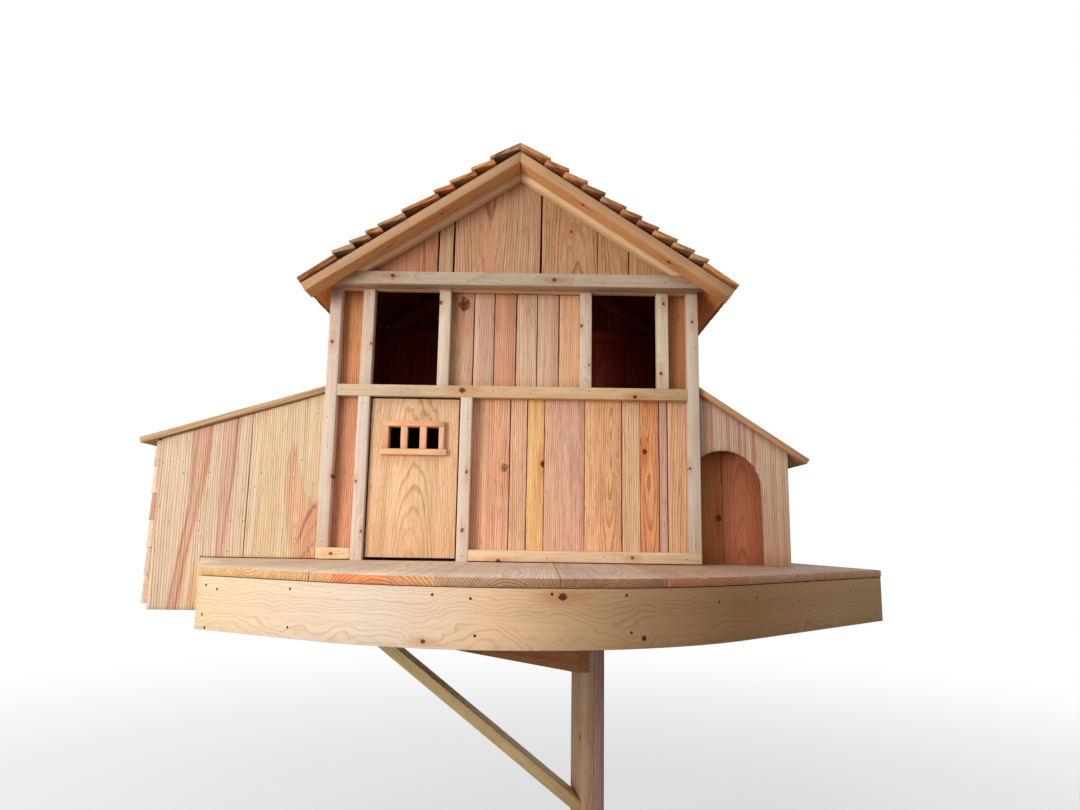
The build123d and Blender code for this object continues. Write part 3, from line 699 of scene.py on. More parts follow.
makePiece("windowStuds", windowStuds, planedPine, ["window_studs"])


# The roof's line, z = ridge - |x - ridge's x| * tan(pitch), and x on each slope at the height v.
def slopeAt(x):
    return ridgeZ - np.abs(x - ridgeX) * rise


def underSlope(v, w):
    return slopeAt(v)


def slopeLeft(v, w):
    return ridgeX - (ridgeZ - v) / rise


def slopeRight(v, w):
    return ridgeX + (ridgeZ - v) / rise


def plateLeft(v, w):
    return np.maximum(-half, slopeLeft(v, w))


def plateRight(v, w):
    return np.minimum(half, slopeRight(v, w))


def plateTop(v, s):
    return np.minimum(plate + stick, slopeAt(v))


topPlates = [square(level, (plateLeft, plateRight), plate, y, sticks["shade"], cols=5)
             for y in (0, backStick)]
paintShadeIndoors(topPlates[1], 1, 600, 1)
makePiece("topPlates", topPlates, planedPine, ["top_plates"])
sidePlates = [plank(decking, (stick, backStick), (x, x + stick), (plate - stick, plateTop),
                    timber(sticks["shade"], rings=1.2, heart=0.18), cols=4) for x in (-half, inner)]
makePiece("sidePlates", sidePlates, planedPine, ["side_plates"])
sideRails = [square(inward, (stick, backStick), z, x, sticks["shade"])
             for x in (-half, inner) for z in (0, midRail)]
makePiece("sideRails", sideRails, planedPine, ["side_rails"])
backRails = [paintShadeIndoors(square(level, (-reach, reach), z, backStick, sticks["shade"]), 1, 680, -1)
             for reach, z in ((half, 0), (inner, midRail))]
makePiece("backRails", backRails, planedPine, ["back_rails"])

# Wall boards
walls = {
    "lowerSeams": [-148, -5, 51, 107.5, 239, 361, 421, 483, 510, 575],
    "lowerGaps": [1, 3.4, 2.8, 1.2, 0.7, 2.4, 0.8, 2.8, 2.4, 1],
    "lowerColours": [(236, 183, 150), (230, 188, 151), (248, 202, 142), (228, 184, 160), (234, 184, 140),
                     (234, 194, 154), (228, 163, 114), (219, 182, 165), (224, 181, 142)],
    "lowerKnots": {0: [(-23.2, 300.9, 12, 0.75)], 2: [(104, 316, 9, 1.45)], 6: [(435, 361.1, 7.5, 1.49)]},
    "lowerStreaks": [(3, [(134, 0, 26), (134, 545, 22)], (1.02, 0.98, 0.95), 12),
                     (3, [(176, 0, 10), (180, 545, 8)], (1.06, 1.05, 1.02), 8),
                     (3, [(222, 0, 14), (224, 545, 12)], (0.95, 0.9, 0.9), 8),
                     (4, [(262, 0, 26), (264, 545, 24)], (1.06, 1.12, 1.12), 12)],
    "upperSeams": [-228.5, -134, -65, 8, 78, 151, 239],
    "upperColours": [(214, 177, 148), (219, 186, 164), (211, 157, 125), (223, 191, 162), (217, 184, 157),
                     (224, 180, 142)],
    "upperKnots": {0: [(-168.9, 851, 19, 1.1)]},
    "gap": 2.6,
    "behindPost": 3.5,
    "lowerStrip": (-482, (221, 162, 124)),
    "upperStrips": [(-481.5, (214, 154, 104), 0.5), (492, (199, 138, 90), 0.6)],
    "sideSeams": [57, 176, 290, 411, 527, 643],
    "backSeams": [-575.5, -446, -318, -190, -66, 60, 188, 314, 441, 575.5],
    "floorSeams": [38, 158, 280, 401, 522, 643],
    "plainColours": [(216, 166, 130), (222, 176, 136), (208, 156, 122), (224, 180, 142), (214, 160, 118)],
}
print("wall boards")
wallDeep = (stick, stick + board)


def boardLooks(colours, knots=None, heart=0.45, **more):
    return [timber(c, "edge", heart=heart, knots=(knots or {}).get(i, ()), **more)
            for i, c in enumerate(colours)]


lowerLooks = boardLooks(walls["lowerColours"], walls["lowerKnots"], spread=2)
lowerLooks[4] = timber(walls["lowerColours"][4], cut=(22, 44), heart=0.4, spread=2, lean=(0.0, 0.09))
lowerLooks[6]["pith"] = (-6, 46)
lowerLooks[6]["lean"] = (0.02, 0.05)
lowerBoards = boarding(upright, walls["lowerSeams"], lowerLooks, (0, floorUnder), wallDeep,
                       walls["lowerGaps"], 0.6, rows=14, cols=8)
for i, line, ratio, soft in walls["lowerStreaks"]:
    streak(lowerBoards[i], line, ratio, soft)
edge, colour = walls["lowerStrip"]
lowerBoards += boarding(upright, [-inner - walls["behindPost"], edge], boardLooks([colour], heart=0.5),
                        (0, floorUnder), wallDeep)
makePiece("frontBoardsLower", lowerBoards, roughCedar, ["front_boards_lower"])
upperLooks = boardLooks(walls["upperColours"], walls["upperKnots"], spread=2)
upperBoards = boarding(upright, walls["upperSeams"], upperLooks, (floorTop, plate), wallDeep, walls["gap"])
for edge, colour, heart in walls["upperStrips"]:
    seams = sorted([edge, math.copysign(inner + walls["behindPost"], edge)])
    upperBoards += boarding(upright, seams, boardLooks([colour], heart=heart), (floorTop, plate), wallDeep)
makePiece("frontBoardsUpper", upperBoards, roughCedar, ["front_boards_upper"])

plain = walls["plainColours"]
sideBoards = []
for x in (-inner, inner - board):
    middle = x + board / 2
    sideBoards += [paintShadeIndoors(b, 0, middle, -np.sign(middle)) for b in boarding(
        sideways, walls["sideSeams"], boardLooks(plain), (0, plate), (x, x + board), 0.6, step=0.0)]
makePiece("sideBoards", sideBoards, widePine, ["side_boards"])
backBoards = boarding(upright, walls["backSeams"], boardLooks(plain * 2, spread=6), (0, plate),
                      (backBoard, backStick), 0.6, 0.2, step=0.0)
backBoards = [paintShadeIndoors(b, 1, 650, -1) for b in backBoards]
makePiece("backBoards", backBoards, widePine, ["back_boards"])
floorBoards = boarding(flat, walls["floorSeams"], boardLooks(plain), (board - inner, inner - board),
                       (floorUnder, floorTop), 0.6, step=0.0)
floorBoards = [paintShadeIndoors(b, 2, 500, 1) for b in floorBoards]
makePiece("upperFloor", floorBoards, roughCedar, ["upper_floor"])

# Gable and roof
roof = {
    "frontSeams": [-609.5, -254, -203, 87, 276, 379, 609.5],
    "frontGaps": [0.0, 4.0, 4.4, 4.6, 0.4, 2.2, 0.0],
    "frontLooks": [((202, 146, 115), "edge", 0.95, 0.0), ((200, 163, 128), "edge", 1.0, 0.0),
                   ((202, 160, 126), (-34, 60), 1.0, 0.045), ((192, 147, 106), (22, 60), 1.0, -0.05),
                   ((190, 145, 106), (40, 60), 0.95, 0.03), ((192, 152, 110), "edge", 1.0, 0.0)],
    "frontKnots": {3: [(186, 1090, 4, 1.4)]},
    "frontStreaks": [([(-186, 887, 16), (-184, 1300, 14)], (1.0, 1.06, 1.08), 8),
                     ([(-110, 887, 56), (-80, 1300, 30)], (1.02, 0.9, 0.86), 16),
                     ([(40, 887, 48), (40, 1300, 40)], (0.96, 1.05, 1.02), 14)],
    "backColours": [(179, 139, 111), (187, 142, 109), (192, 150, 117), (189, 146, 115), (194, 159, 124),
                    (190, 153, 123), (196, 165, 132), (187, 140, 104), (185, 142, 109), (192, 155, 121),
                    (190, 152, 117), (187, 148, 115)],
    "tieTop": 930.0,
    "tieColour": (184, 165, 146),
    "tieKnots": [(914, -395, 6, 1.2), (908, 132, 6, 1.2)],
    # The barges' own tone, darkened in part by painted shade.
    "bargeColour": (188, 146, 108),
    "bargeKnots": {-1: [(-100, 320, 5, 1.2), (-92, 520, 4, 1.2)],
                   1: [(-112, 262, 6, 1.4), (-100, 596, 7, 1.4)]},
    "sheathColours": [(196, 142, 96), (186, 130, 88), (202, 150, 104)],
    "eave": 66.8,
    "front": -57.0,
    "rear": 745.0,
    "sheath": 9.5,
    "shakeThick": 22.0,
    "shakeButt": 13.0,
    "lap": 10.0,
    "overhang": 10.0,
    "starts": {-1: (0, 0.105, 0.193, 0.295, 0.366, 0.517, 0.622, 0.678, 0.747, 0.828),
               1: (0, 0.105, 0.193, 0.281, 0.368, 0.462, 0.538, 0.611, 0.699, 0.781, 0.844)},
    "shakeColours": [(206, 142, 86), (188, 122, 70), (212, 154, 98), (192, 138, 94), (172, 114, 70),
                     (206, 146, 88), (184, 142, 104)],
}
print("gable")


def gableBoard(i, seams, gaps, deep, look, **more):
    a, b = seams[i:i + 2]
    return plank(upright, (plate, underSlope), (a + gaps[i], b - gaps[i + 1]), deep, look,
                 shear=[ridgeX] if a < ridgeX < b else (), **more)


gables = []
frontGaps = [g / 2 for g in roof["frontGaps"]]
for i, (colour, cut, rings, climb) in enumerate(roof["frontLooks"]):
    look = timber(colour, cut, rings, 0.4, roof["frontKnots"].get(i, ()), 2, (0.0, climb))
    gables.append(gableBoard(i, roof["frontSeams"], frontGaps, (-board + rng.uniform(0, 0.5), 0.0), look,
                             cols=10, rows=9, waver=1.2))
for line, ratio, soft in roof["frontStreaks"]:
    streak(gables[2], line, ratio, soft)
backSeams = np.linspace(-half, half, 11)
backGaps = [0.0] + [0.4] * 9 + [0.0]
for i, look in enumerate(boardLooks(roof["backColours"], heart=0.4, spread=3)[:10]):
    made = gableBoard(i, backSeams, backGaps, (house["back"], house["back"] + board), look, rows=7, waver=0.1)
    gables.append(paintShadeIndoors(made, 1, 708, -1))
makePiece("gableBoards", gables, roughCedar, ["gable_boards"])

tieLook = timber(roof["tieColour"], cut=(6, 40), heart=0.2, knots=roof["tieKnots"], spread=2)
tie = plank(level, (slopeLeft, slopeRight), (plate, roof["tieTop"]), (roof["front"], -board), tieLook,
            ease=1.8, rows=8, cols=2)
makePiece("tieBeam", [tie], planedPine, ["front_tie_beam"])

slopes = {}
for side in (-1, 1):
    down = np.array([side * math.cos(pitch), 0.0, -math.sin(pitch)])
    slopes[side] = (np.array([ridgeX, 0.0, ridgeZ]), down, north,
                    np.array([side * math.sin(pitch), 0.0, math.cos(pitch)]))


def plumb(v, w):      # mitre at the ridge
    return 0.2 / math.cos(pitch) - w * math.tan(pitch)


def toLevel(z):      # cut level at the height z
    return lambda v, w: (ridgeZ - z + w * math.cos(pitch)) / math.sin(pitch)


def clippedEnd(side):      # level on the plate, and clipped plumb at the wall
    reach = half - side * ridgeX
    onPlate = toLevel(plate + stick)
    return lambda v, w: np.minimum(onPlate(v, w), (reach - w * math.sin(pitch)) / math.cos(pitch))


def rafter(side, low, y0):
    look = timber(sticks["warm"], cut=(8, -30), heart=0.25, rings=1.2)
    return plank(slopes[side], (plumb, low), (y0, y0 + stick), (-stick, 0), look, ease=1.8, rows=6)


makePiece("gableRakes", [rafter(s, toLevel(roof["tieTop"]), roof["front"]) for s in (-1, 1)], planedPine,
          ["front_gable_rakes"])
backRafters = [paintShadeIndoors(rafter(s, clippedEnd(s), backStick), 1, 600, 1) for s in (-1, 1)]
makePiece("backRafters", backRafters, planedPine, ["back_rafters"])

print("roof")
roofReach = (half + roof["eave"]) / math.cos(pitch)
barges = []
for side in (-1, 1):
    look = timber(roof["bargeColour"], (20, -50), 1.1, 0.25, roof["bargeKnots"][side], 2)
    made = plank(slopes[side], (plumb, roofReach + 8), (-135, roof["front"]), (-23, 7), look, ease=2.2,
                 rows=8, cols=4)
    # Painted light on the barges' undersides, which face down into shade.
    under = (made["points"] - slopes[side][0]) @ slopes[side][3] < -21
    made["tint"][under, :3] *= (1.42, 1.3, 1.12)
    barges.append(made)
makePiece("bargeBoards", barges, planedPine, ["barge_boards"])


# Boards across one slope, with painted shade, deep red, on their undersides indoors and painted light on
# their undersides at the eaves.
def sheathing(side):
    origin, run, across, up = slopes[side]
    made = []
    for i, (a, b) in between(np.linspace(0.0, roofReach, 7)):
        look = timber(roof["sheathColours"][i % 3], heart=0.5, spread=4)
        low = a + (0.9 if i else 0.3)
        part = plank((origin, across, run, up), (roof["front"], roof["rear"]), (low, b - 0.9 * (i < 5)),
                     (0, roof["sheath"]), look, ease=0.8, rows=16)
        # Painted shade under the boards indoors, and painted light under them at the eaves.
        under = (part["points"] - origin) @ up < 1.5
        indoors = (part["points"][:, 1] > 0) & (np.abs(part["points"][:, 0]) < 600)
        part["tint"][under & indoors, :3] *= (0.5, 0.1, 0.08)
        part["tint"][under & ~indoors, :3] *= (1.5, 1.15, 0.8)
        made.append(part)
    return made


makePiece("roofBoardsLeft", sheathing(-1), sheathPine, ["roof_boards_left"])
makePiece("roofBoardsRight", sheathing(1), sheathPine, ["roof_boards_right"])


# Split shakes: each lies with its head on the roof boards and its butt on the head of the course below,
# low face = 22 * share of its length. Riven ridges run down it, h(y) = sum of three sines.
def shakeCourse(side, course):
    reach = roofReach + roof["overhang"]
    starts = roof["starts"][side]
    last = course == len(starts) - 1
    head = starts[course] * reach
    foot = reach if last else starts[course + 1] * reach + roof["lap"]
    right = roof["rear"] + 10.0
    ends = [-145.0]
    while ends[-1] < right:
        ends.append(min(ends[-1] + rng.uniform(62, 128), right))
    if ends[-1] - ends[-2] < 45:
        ends.pop(-2)
    made = []
    for i, (a, b) in between(ends):
        wave = rng.uniform(0, 6.28, 3)
        lift = rng.uniform(-2.5, 0.0)
        slip = rng.uniform(0, 6.0) * (not last)
        table = rng.uniform(-2.5, 0.0, 8)

        def topFace(v, s):
            riven = (0.8 * np.sin(v / 5.1 + wave[0]) + 0.5 * np.sin(v / 2.3 + wave[1])
                     + 0.6 * np.sin(v / 11.0 + wave[2]))
            swell = -2.0 if last else roof["shakeButt"]
            return roof["sheath"] + roof["shakeThick"] + swell * s + lift + riven - 1.9

        def lowFace(v, s):
            return roof["sheath"] + 0.2 + (0.0 if last else roof["shakeThick"]) * s

        def butt(v, w):
            return foot - slip + np.interp(v, np.linspace(a, b, 8), table)

        colour = roof["shakeColours"][rng.integers(0, 7)]
        look = timber(colour, "edge", rings=rng.uniform(0.8, 1.4), heart=0.35, spread=9)
        gapRight = rng.uniform(1.0, 4.0) if b < right else 0.0
        made.append(plank(slopes[side], (head if course else plumb, butt), (a, b - gapRight),
                          (lowFace, topFace), look, ease=1.3, cols=14, rows=6, waver=2.2))
    return made


def shaking(side):
    return [s for course in range(len(roof["starts"][side])) for s in shakeCourse(side, course)]


makePiece("roofShakesLeft", shaking(-1), splitCedar, ["roof_shakes_left"])
makePiece("roofShakesRight", shaking(1), splitCedar, ["roof_shakes_right"])

# Left wing
leftWing = {
    "out": -1143.0,
    "front": 38.0,
    "back": 498.0,
    "foot": -164.0,
    "notch": -987.0,
    "seam": -850.0,
    "overDeck": 2.6,
    "roofTop": 561.7,
    "slope": math.radians(16.8),
    "tip": -1209.0,
    "colours": [(216, 194, 168), (220, 199, 164)],
    "sidingColours": [(226, 204, 180), (222, 188, 162), (232, 208, 182), (214, 176, 150), (230, 206, 180),
                      (226, 196, 168)],
    "roofColour": (196, 162, 124),
    "sidingFoot": -145.0,
    "sidingThick": (20.0, 15.5),
    "outerStreaks": [
        ([(-1066, -166, 26), (-1048, -60, 26), (-1038, 60, 26), (-1020, 180, 24), (-1008, 300, 34),
          (-1006, 400, 38), (-1004, 560, 36)], (0.92, 0.74, 0.7), 13),
        ([(-1076, -166, 4), (-1062, -40, 4), (-1048, 60, 5), (-1034, 150, 4), (-1036, 260, 4),
          (-1038, 380, 5), (-1036, 560, 6)], (0.78, 0.52, 0.48), 4),
        ([(-1054, -166, 6), (-1040, -40, 6), (-1026, 60, 6), (-1014, 150, 5), (-1006, 260, 3),
          (-1004, 330, 1)], (0.86, 0.62, 0.52), 4),
        ([(-1020, 60, 2), (-1000, 180, 6), (-990, 280, 8), (-986, 396, 8), (-984, 560, 7)],
         (0.94, 0.7, 0.56), 5),
        ([(-1026, 200, 3), (-1030, 300, 8), (-1024, 396, 6), (-1016, 560, 5)], (0.82, 0.66, 0.68), 5),
        ([(-926, -5, 20), (-926, 150, 26), (-920, 300, 30), (-914, 420, 34), (-910, 580, 34)],
         (0.92, 0.77, 0.78), 10),
        ([(-925, -5, 3), (-914, 140, 4), (-902, 250, 5), (-900, 420, 6), (-896, 580, 6)],
         (0.76, 0.54, 0.58), 4),
        ([(-936, -5, 2), (-934, 150, 3), (-928, 300, 3), (-922, 420, 3), (-916, 580, 3)],
         (0.86, 0.68, 0.68), 3),
        ([(-956, -5, 8), (-956, 200, 10), (-958, 420, 8), (-958, 580, 8)], (0.98, 0.9, 0.88), 8),
        ([(-1006, -166, 22), (-1004, -80, 12), (-998, 14, 1)], (1.03, 0.84, 0.6), 5),
    ],
    "innerStreaks": [
        ([(-654, -5, 46), (-664, 90, 56), (-670, 165, 60), (-699, 212, 34), (-707, 288, 28), (-711, 345, 14),
          (-713, 396, 1)], (0.99, 0.77, 0.72), 7),
        ([(-640, -5, 30), (-636, 60, 28), (-632, 130, 22), (-626, 180, 12)], (0.98, 0.88, 0.84), 6),
        ([(-690, 36, 3), (-672, 70, 5), (-660, 118, 7), (-640, 160, 8), (-612, 186, 7)],
         (0.62, 0.42, 0.36), 4),
        ([(-672, 20, 2), (-656, 60, 3), (-634, 100, 4), (-612, 130, 4)], (0.72, 0.5, 0.42), 4),
        ([(-668, -5, 4), (-650, 26, 5), (-614, 62, 4)], (0.62, 0.42, 0.36), 4),
        ([(-780, -5, 40), (-790, 500, 44)], (1.02, 1.0, 0.94), 20),
    ],
}
print("left wing")
wingOut = leftWing["out"]
wingSeam = leftWing["seam"]
wingEaves = leftWing["front"], leftWing["back"] - board
leftFall = math.tan(leftWing["slope"])
leftHead = leftWing["roofTop"] - board / math.cos(leftWing["slope"])


def underLeft(v, w):      # just under the wing's roof
    return leftHead - 1.8 - (-half - v) * leftFall


def wingFoot(v, w):      # past the deck's edge the board hangs lower
    return np.where(v < leftWing["notch"], leftWing["foot"], leftWing["overDeck"])


wingBoards = []
for y in wingEaves:
    deep = (y, y + board)
    step = [leftWing["notch"] - 0.3, leftWing["notch"] + 0.3]
    outerLook = timber(leftWing["colours"][0], (-150, 40), 0.95, 0.12, spread=2, lean=(0.01, 0.02))
    innerLook = timber(leftWing["colours"][1], (140, 50), 0.95, 0.1, spread=2, lean=(0.004, 0.02),
                       knots=[(-812, 190, 5, 0.25)] if y < 100 else ())
    outerBoard = plank(upright, (wingFoot, underLeft), (wingOut, wingSeam - 0.8), deep, outerLook, cols=90,
                       rows=44, shear=step, waver=0.4)
    innerBoard = plank(upright, (leftWing["overDeck"], underLeft), (wingSeam + 0.8, -half), deep, innerLook,
                       cols=80, rows=40, waver=0.4)
    for made, key in ((outerBoard, "outerStreaks"), (innerBoard, "innerStreaks")):
        for line, ratio, soft in leftWing[key]:
            streak(made, line, ratio, soft)
        wingBoards.append(made)
makePiece("leftWingWalls", wingBoards, wingPine, ["left_wing_walls"])

sidingFoot = leftWing["sidingFoot"]
sidingThick, sidingTop = leftWing["sidingThick"]
sidingHead = leftHead - (-half - wingOut + sidingThick) * leftFall
exposure = (sidingHead - sidingFoot) / len(leftWing["sidingColours"])


def sidingFace(lift):      # x of a course's outer face at a height over its lower edge
    return wingOut - sidingThick + (sidingThick - sidingTop) * lift / exposure


siding = []
for i, colour in enumerate(leftWing["sidingColours"]):
    z = sidingFoot + i * exposure
    look = timber(colour, heart=0.7, spread=3)
    ends = (leftWing["front"] + rng.uniform(0, 1.5), leftWing["back"] - rng.uniform(0, 1.5))
    faces = (lambda v, s: sidingFace(v - z), wingOut)
    siding.append(plank(inward, ends, (z + 0.2, z + exposure - 0.2), faces, look, rows=5, cols=2, ease=1.2))
makePiece("leftWingSiding", siding, widePine, ["left_wing_siding"])


# Boards of a wing's roof, laid side by side down its slope.
def wingRoof(name, node, side, wing, y1):
    slope = wing["slope"]
    origin = np.array([side * half, 0.0, wing["roofTop"]])
    run = np.array([side * math.cos(slope), 0.0, -math.sin(slope)])
    up = np.array([side * math.sin(slope), 0.0, math.cos(slope)])
    length = (abs(wing["tip"]) - half) / math.cos(slope)
    boards = []
    for i, (a, b) in between(np.linspace(20.0, y1, 4)):
        look = timber(wing["roofColour"], heart=0.5, spread=4)
        boards.append(plank((origin, run, north, up), (lambda v, w: -w * math.tan(slope), length),
                            (a + 0.8 * (i > 0), b - 0.8 * (i < 2)), (-board, 0), look, rows=6, ease=1.4))
    makePiece(name, boards, widePine, [node])


wingRoof("leftWingRoof", "left_wing_roof", -1, leftWing, 518.0)

# Right wing
rightWing = {
    "out": 902.0,
    "front": 38.0,
    "back": 418.0,
    "roofTop": 578.6,
    "slope": math.radians(33.4),
    "tip": 968.0,
    "archX": 691.0,
    "archRadius": 125.0,
    "spring": 243.0,
    "panelFront": 114.0,
    "panelSeam": 703.0,
    "frontColour": (210, 184, 163),
    "frontStreaks": [(621, 1.5, (0.76, 0.62, 0.55)), (633, 1.5, (0.76, 0.62, 0.55)),
                     (643, 1.5, (0.74, 0.6, 0.53)), (658, 6, (0.86, 0.62, 0.57)),
                     (676, 1.5, (0.76, 0.58, 0.52)), (688, 2, (0.76, 0.58, 0.52)),
                     (712, 7, (0.84, 0.58, 0.53)), (731, 2, (0.76, 0.58, 0.5)), (750, 6, (0.83, 0.57, 0.51)),
                     (766, 4.5, (0.8, 0.54, 0.48)), (794, 8, (0.86, 0.58, 0.51)),
                     (812, 2, (0.82, 0.68, 0.58)), (870, 26, (0.97, 0.95, 0.88))],
    "footTint": (0.84, 0.7, 0.6),
    "panelColours": [(194, 121, 62), (180, 109, 75)],
    "sideColours": [(214, 170, 134), (206, 160, 126), (220, 180, 144)],
    "roofColour": (188, 148, 112),
}
print("right wing")
wingFar = rightWing["out"]
wingBack = rightWing["back"]
archX = rightWing["archX"]
archRadius = rightWing["archRadius"]
rightFall = math.tan(rightWing["slope"])
rightHead = rightWing["roofTop"] - board / math.cos(rightWing["slope"])


def underRight(v, w):
    return rightHead - (v - half) * rightFall


def archHead(v, w):      # spring + sqrt(r^2 - (x - middle)^2) over the opening, 0 beside it
    away = np.clip(archRadius ** 2 - (v - archX) ** 2, 0, None)
    return np.where(away > 0, rightWing["spring"] + np.sqrt(away), 0.0)


jamb = archX + archRadius
haunch = archX + archRadius * np.cos(np.linspace(0.02, 1.1, 14)[::-1])
frontLook = timber(rightWing["frontColour"], (-150, 30), 1.15, spread=2, lean=(0.0, 0.01))
wingFront = plank(upright, (archHead, underRight), (half, wingFar),
                  (rightWing["front"], rightWing["front"] + board), frontLook, cols=80, rows=8,
                  shear=[*haunch, jamb - 0.3, jamb + 0.3])
for x, wide, ratio in rightWing["frontStreaks"]:
    streak(wingFront, [(x, 0, wide), (x - 4, 600, wide)], ratio, 2.6)
low = np.clip((330 - wingFront["points"][:, 2]) / 330, 0, 1)[:, None]
wingFront["tint"][:, :3] *= 1 + (np.array(rightWing["footTint"]) - 1) * low
makePiece("rightWingFront", [wingFront], wingPine, ["right_wing_front"])
panelLooks = [timber(rightWing["panelColours"][0], (120, 20), knots=[(690, 151.8, 9, 1.45)], spread=2),
              timber(rightWing["panelColours"][1], (-22, 40), 1.5, spread=2, lean=(0.0, 0.05))]
panel = boarding(upright, [half, rightWing["panelSeam"], wingFar - board], panelLooks, (0, underRight),
                 (rightWing["panelFront"], rightWing["panelFront"] + board), 0.2, rows=6)
# Painted light: the left board is lighter towards its right, where light falls in through the opening.
streak(panel[0], [(680, 0, 24), (680, 600, 24)], (1.2, 1.3, 1.3), 20)
makePiece("rightWingPanel", panel, widePine, ["right_wing_panel"])
sideWall = boarding(sideways, [57, 178, 299, wingBack], boardLooks(rightWing["sideColours"]),
                    (0, lambda v, w: underRight(w, v)), (wingFar - board, wingFar), step=0.0, rows=6)
makePiece("rightWingSide", sideWall, widePine, ["right_wing_side"])
backWall = boarding(upright, [half, 701, 792, wingFar - board], boardLooks(rightWing["sideColours"]),
                    (0, underRight), (wingBack - board, wingBack), step=0.0, rows=6)
makePiece("rightWingBack", backWall, widePine, ["right_wing_back"])
wingRoof("rightWingRoof", "right_wing_roof", 1, rightWing, 438.0)

# Door
door = {
    "sides": (-457.5, -173.5),
    "ends": (10.0, 520.0),
    "deep": (19.0, 38.0),
    "openX": (-396.5, -234.5),
    "openZ": (355.0, 427.0),
    "leafColour": (233, 194, 154),
    "leafKnots": [(-290, 470, 14, 0.3), (-450, 232, 6, 0.25)],
    "trim": [
        (level, (-422.5, -208.5), (335, 355), (244, 200, 160)),
        (level, (-414.5, -216.5), (427, 445), (236, 182, 138)),
        (upright, (355, 427), (-414.5, -396.5), (236, 180, 142)),
        (upright, (355, 427), (-234.5, -216.5), (240, 194, 156)),
        (upright, (355, 427), (-357.2, -335.2), (240, 190, 150)),
        (upright, (355, 427), (-295.8, -273.8), (240, 190, 150)),
    ],
}
print("door")
leafLook = timber(door["leafColour"], (4, -62), 0.85, 0.15, door["leafKnots"], 0, (0.0, 0.1))
leafLeft, leafRight = door["sides"]
leafFoot, leafTop = door["ends"]
openLeft, openRight = door["openX"]
openFoot, openTop = door["openZ"]


# The leaf's field: x from the leaf's left edge to its right and z from foot to top, cut round the
# little window as four strips that share one grain, with a painted shadow of the rail towards the top.
def leafStrip(x0, x1, z0, z1):
    strip = plank(upright, (z0, z1), (x0, x1), door["deep"], leafLook, ease=0.01)
    aside = (x0 + x1) / 2 - (leafLeft + leafRight) / 2
    tall = (z0 + z1 - leafFoot - leafTop) / 2
    strip["grain"][:, :2] += np.array([aside, 0.0]) * leafLook["rings"] / 1000
    strip["grain"][:, :2] += np.array(leafLook["lean"]) * tall * leafLook["rings"] / 1000
    # Painted shadow of the rail over the leaf's top.
    high = np.clip((strip["points"][:, 2] - 430) / 80, 0, 1)[:, None]
    strip["tint"][:, :3] *= 1 - 0.15 * high
    return strip


leaf = [
    leafStrip(leafLeft, openLeft, leafFoot, leafTop),
    leafStrip(openRight, leafRight, leafFoot, leafTop),
    leafStrip(openLeft, openRight, leafFoot, openFoot),
    leafStrip(openLeft, openRight, openTop, leafTop),
]
makePiece("doorLeaf", leaf, widePine, ["door_leaf"], "door")
lattice = []
for place, along, across, colour in door["trim"]:
    look = timber(colour, (0, 30), spread=4)
    lattice.append(plank(place, along, across, (0.0, board), look, ease=1.2, rows=5, waver=0.5))
makePiece("doorLattice", lattice, planedPine, ["door_lattice"], "door")
for node in ("door_hinges_fixed", "door_hinges_moving"):
    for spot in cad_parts[node].material_slots:
        spot.link = "OBJECT"
        spot.material = hingeSteel

# Fasteners
fasteners = {
    "nail": 1.9,
    "pin": 1.2,
    "screw": 3.4,
    "plug": 6.0,
    "proud": 0.35,
    "rimScrews": [(-764, -42), (-725, -50), (-491, -39), (-770, -111), (-757, -141), (-491, -122),
                  (-132, -37), (-51, -43), (-40, -117), (118, -32), (282, -35), (293, -112), (534, -55),
                  (680, -50)],
    "rimPlugs": [(323, -124)],
    "rimNails": [(726, -33), (877, -67), (883, -94), (851, -113), (1057, -36), (1210, -94), (1128, -133),
                 (1305, -117), (1188, -53)],
    "wingNails": [(-1096, 111), (-999, 115), (-858, 117), (-900, 116), (-1109, 306), (-1066, 304),
                  (-1063, 268), (-886, 269), (-810, 273), (-828, 226), (-683, 316), (-705, 258), (-689, 103),
                  (-686, 65), (-999, 85), (-978, 271), (-866, 216), (-1130, -120), (-1131, 20), (-1131, 160),
                  (-1131, 300), (-720, 20), (-800, 18), (-900, 20), (-640, 24), (-640, 240), (-640, 470)],
    "tieNails": [(-519, 914), (-493, 905), (-402, 916), (-394, 903), (-323, 914), (-150, 900), (-38, 904),
                 (132, 907), (291, 900), (493, 902), (-565, 898), (560, 899)],
    "frameNails": [(-598, 453), (-592, 359), (-590, 57), (-142, 457), (-63, 549), (401, 537), (-590, 820),
                   (590, 60), (596, 700), (-520, 19), (-485, 500), (-485, 18), (-148, 18), (120, 16),
                   (300, 22), (560, 19), (-555, 546), (-340, 548), (60, 541), (250, 552), (540, 548),
                   (-482, 600), (-482, 866), (238, 590), (492, 866)],
    "doorNails": [(-405, 0, 345), (-226, 0, 345), (-405, 0, 436), (-226, 0, 436)],
}
print("fasteners")


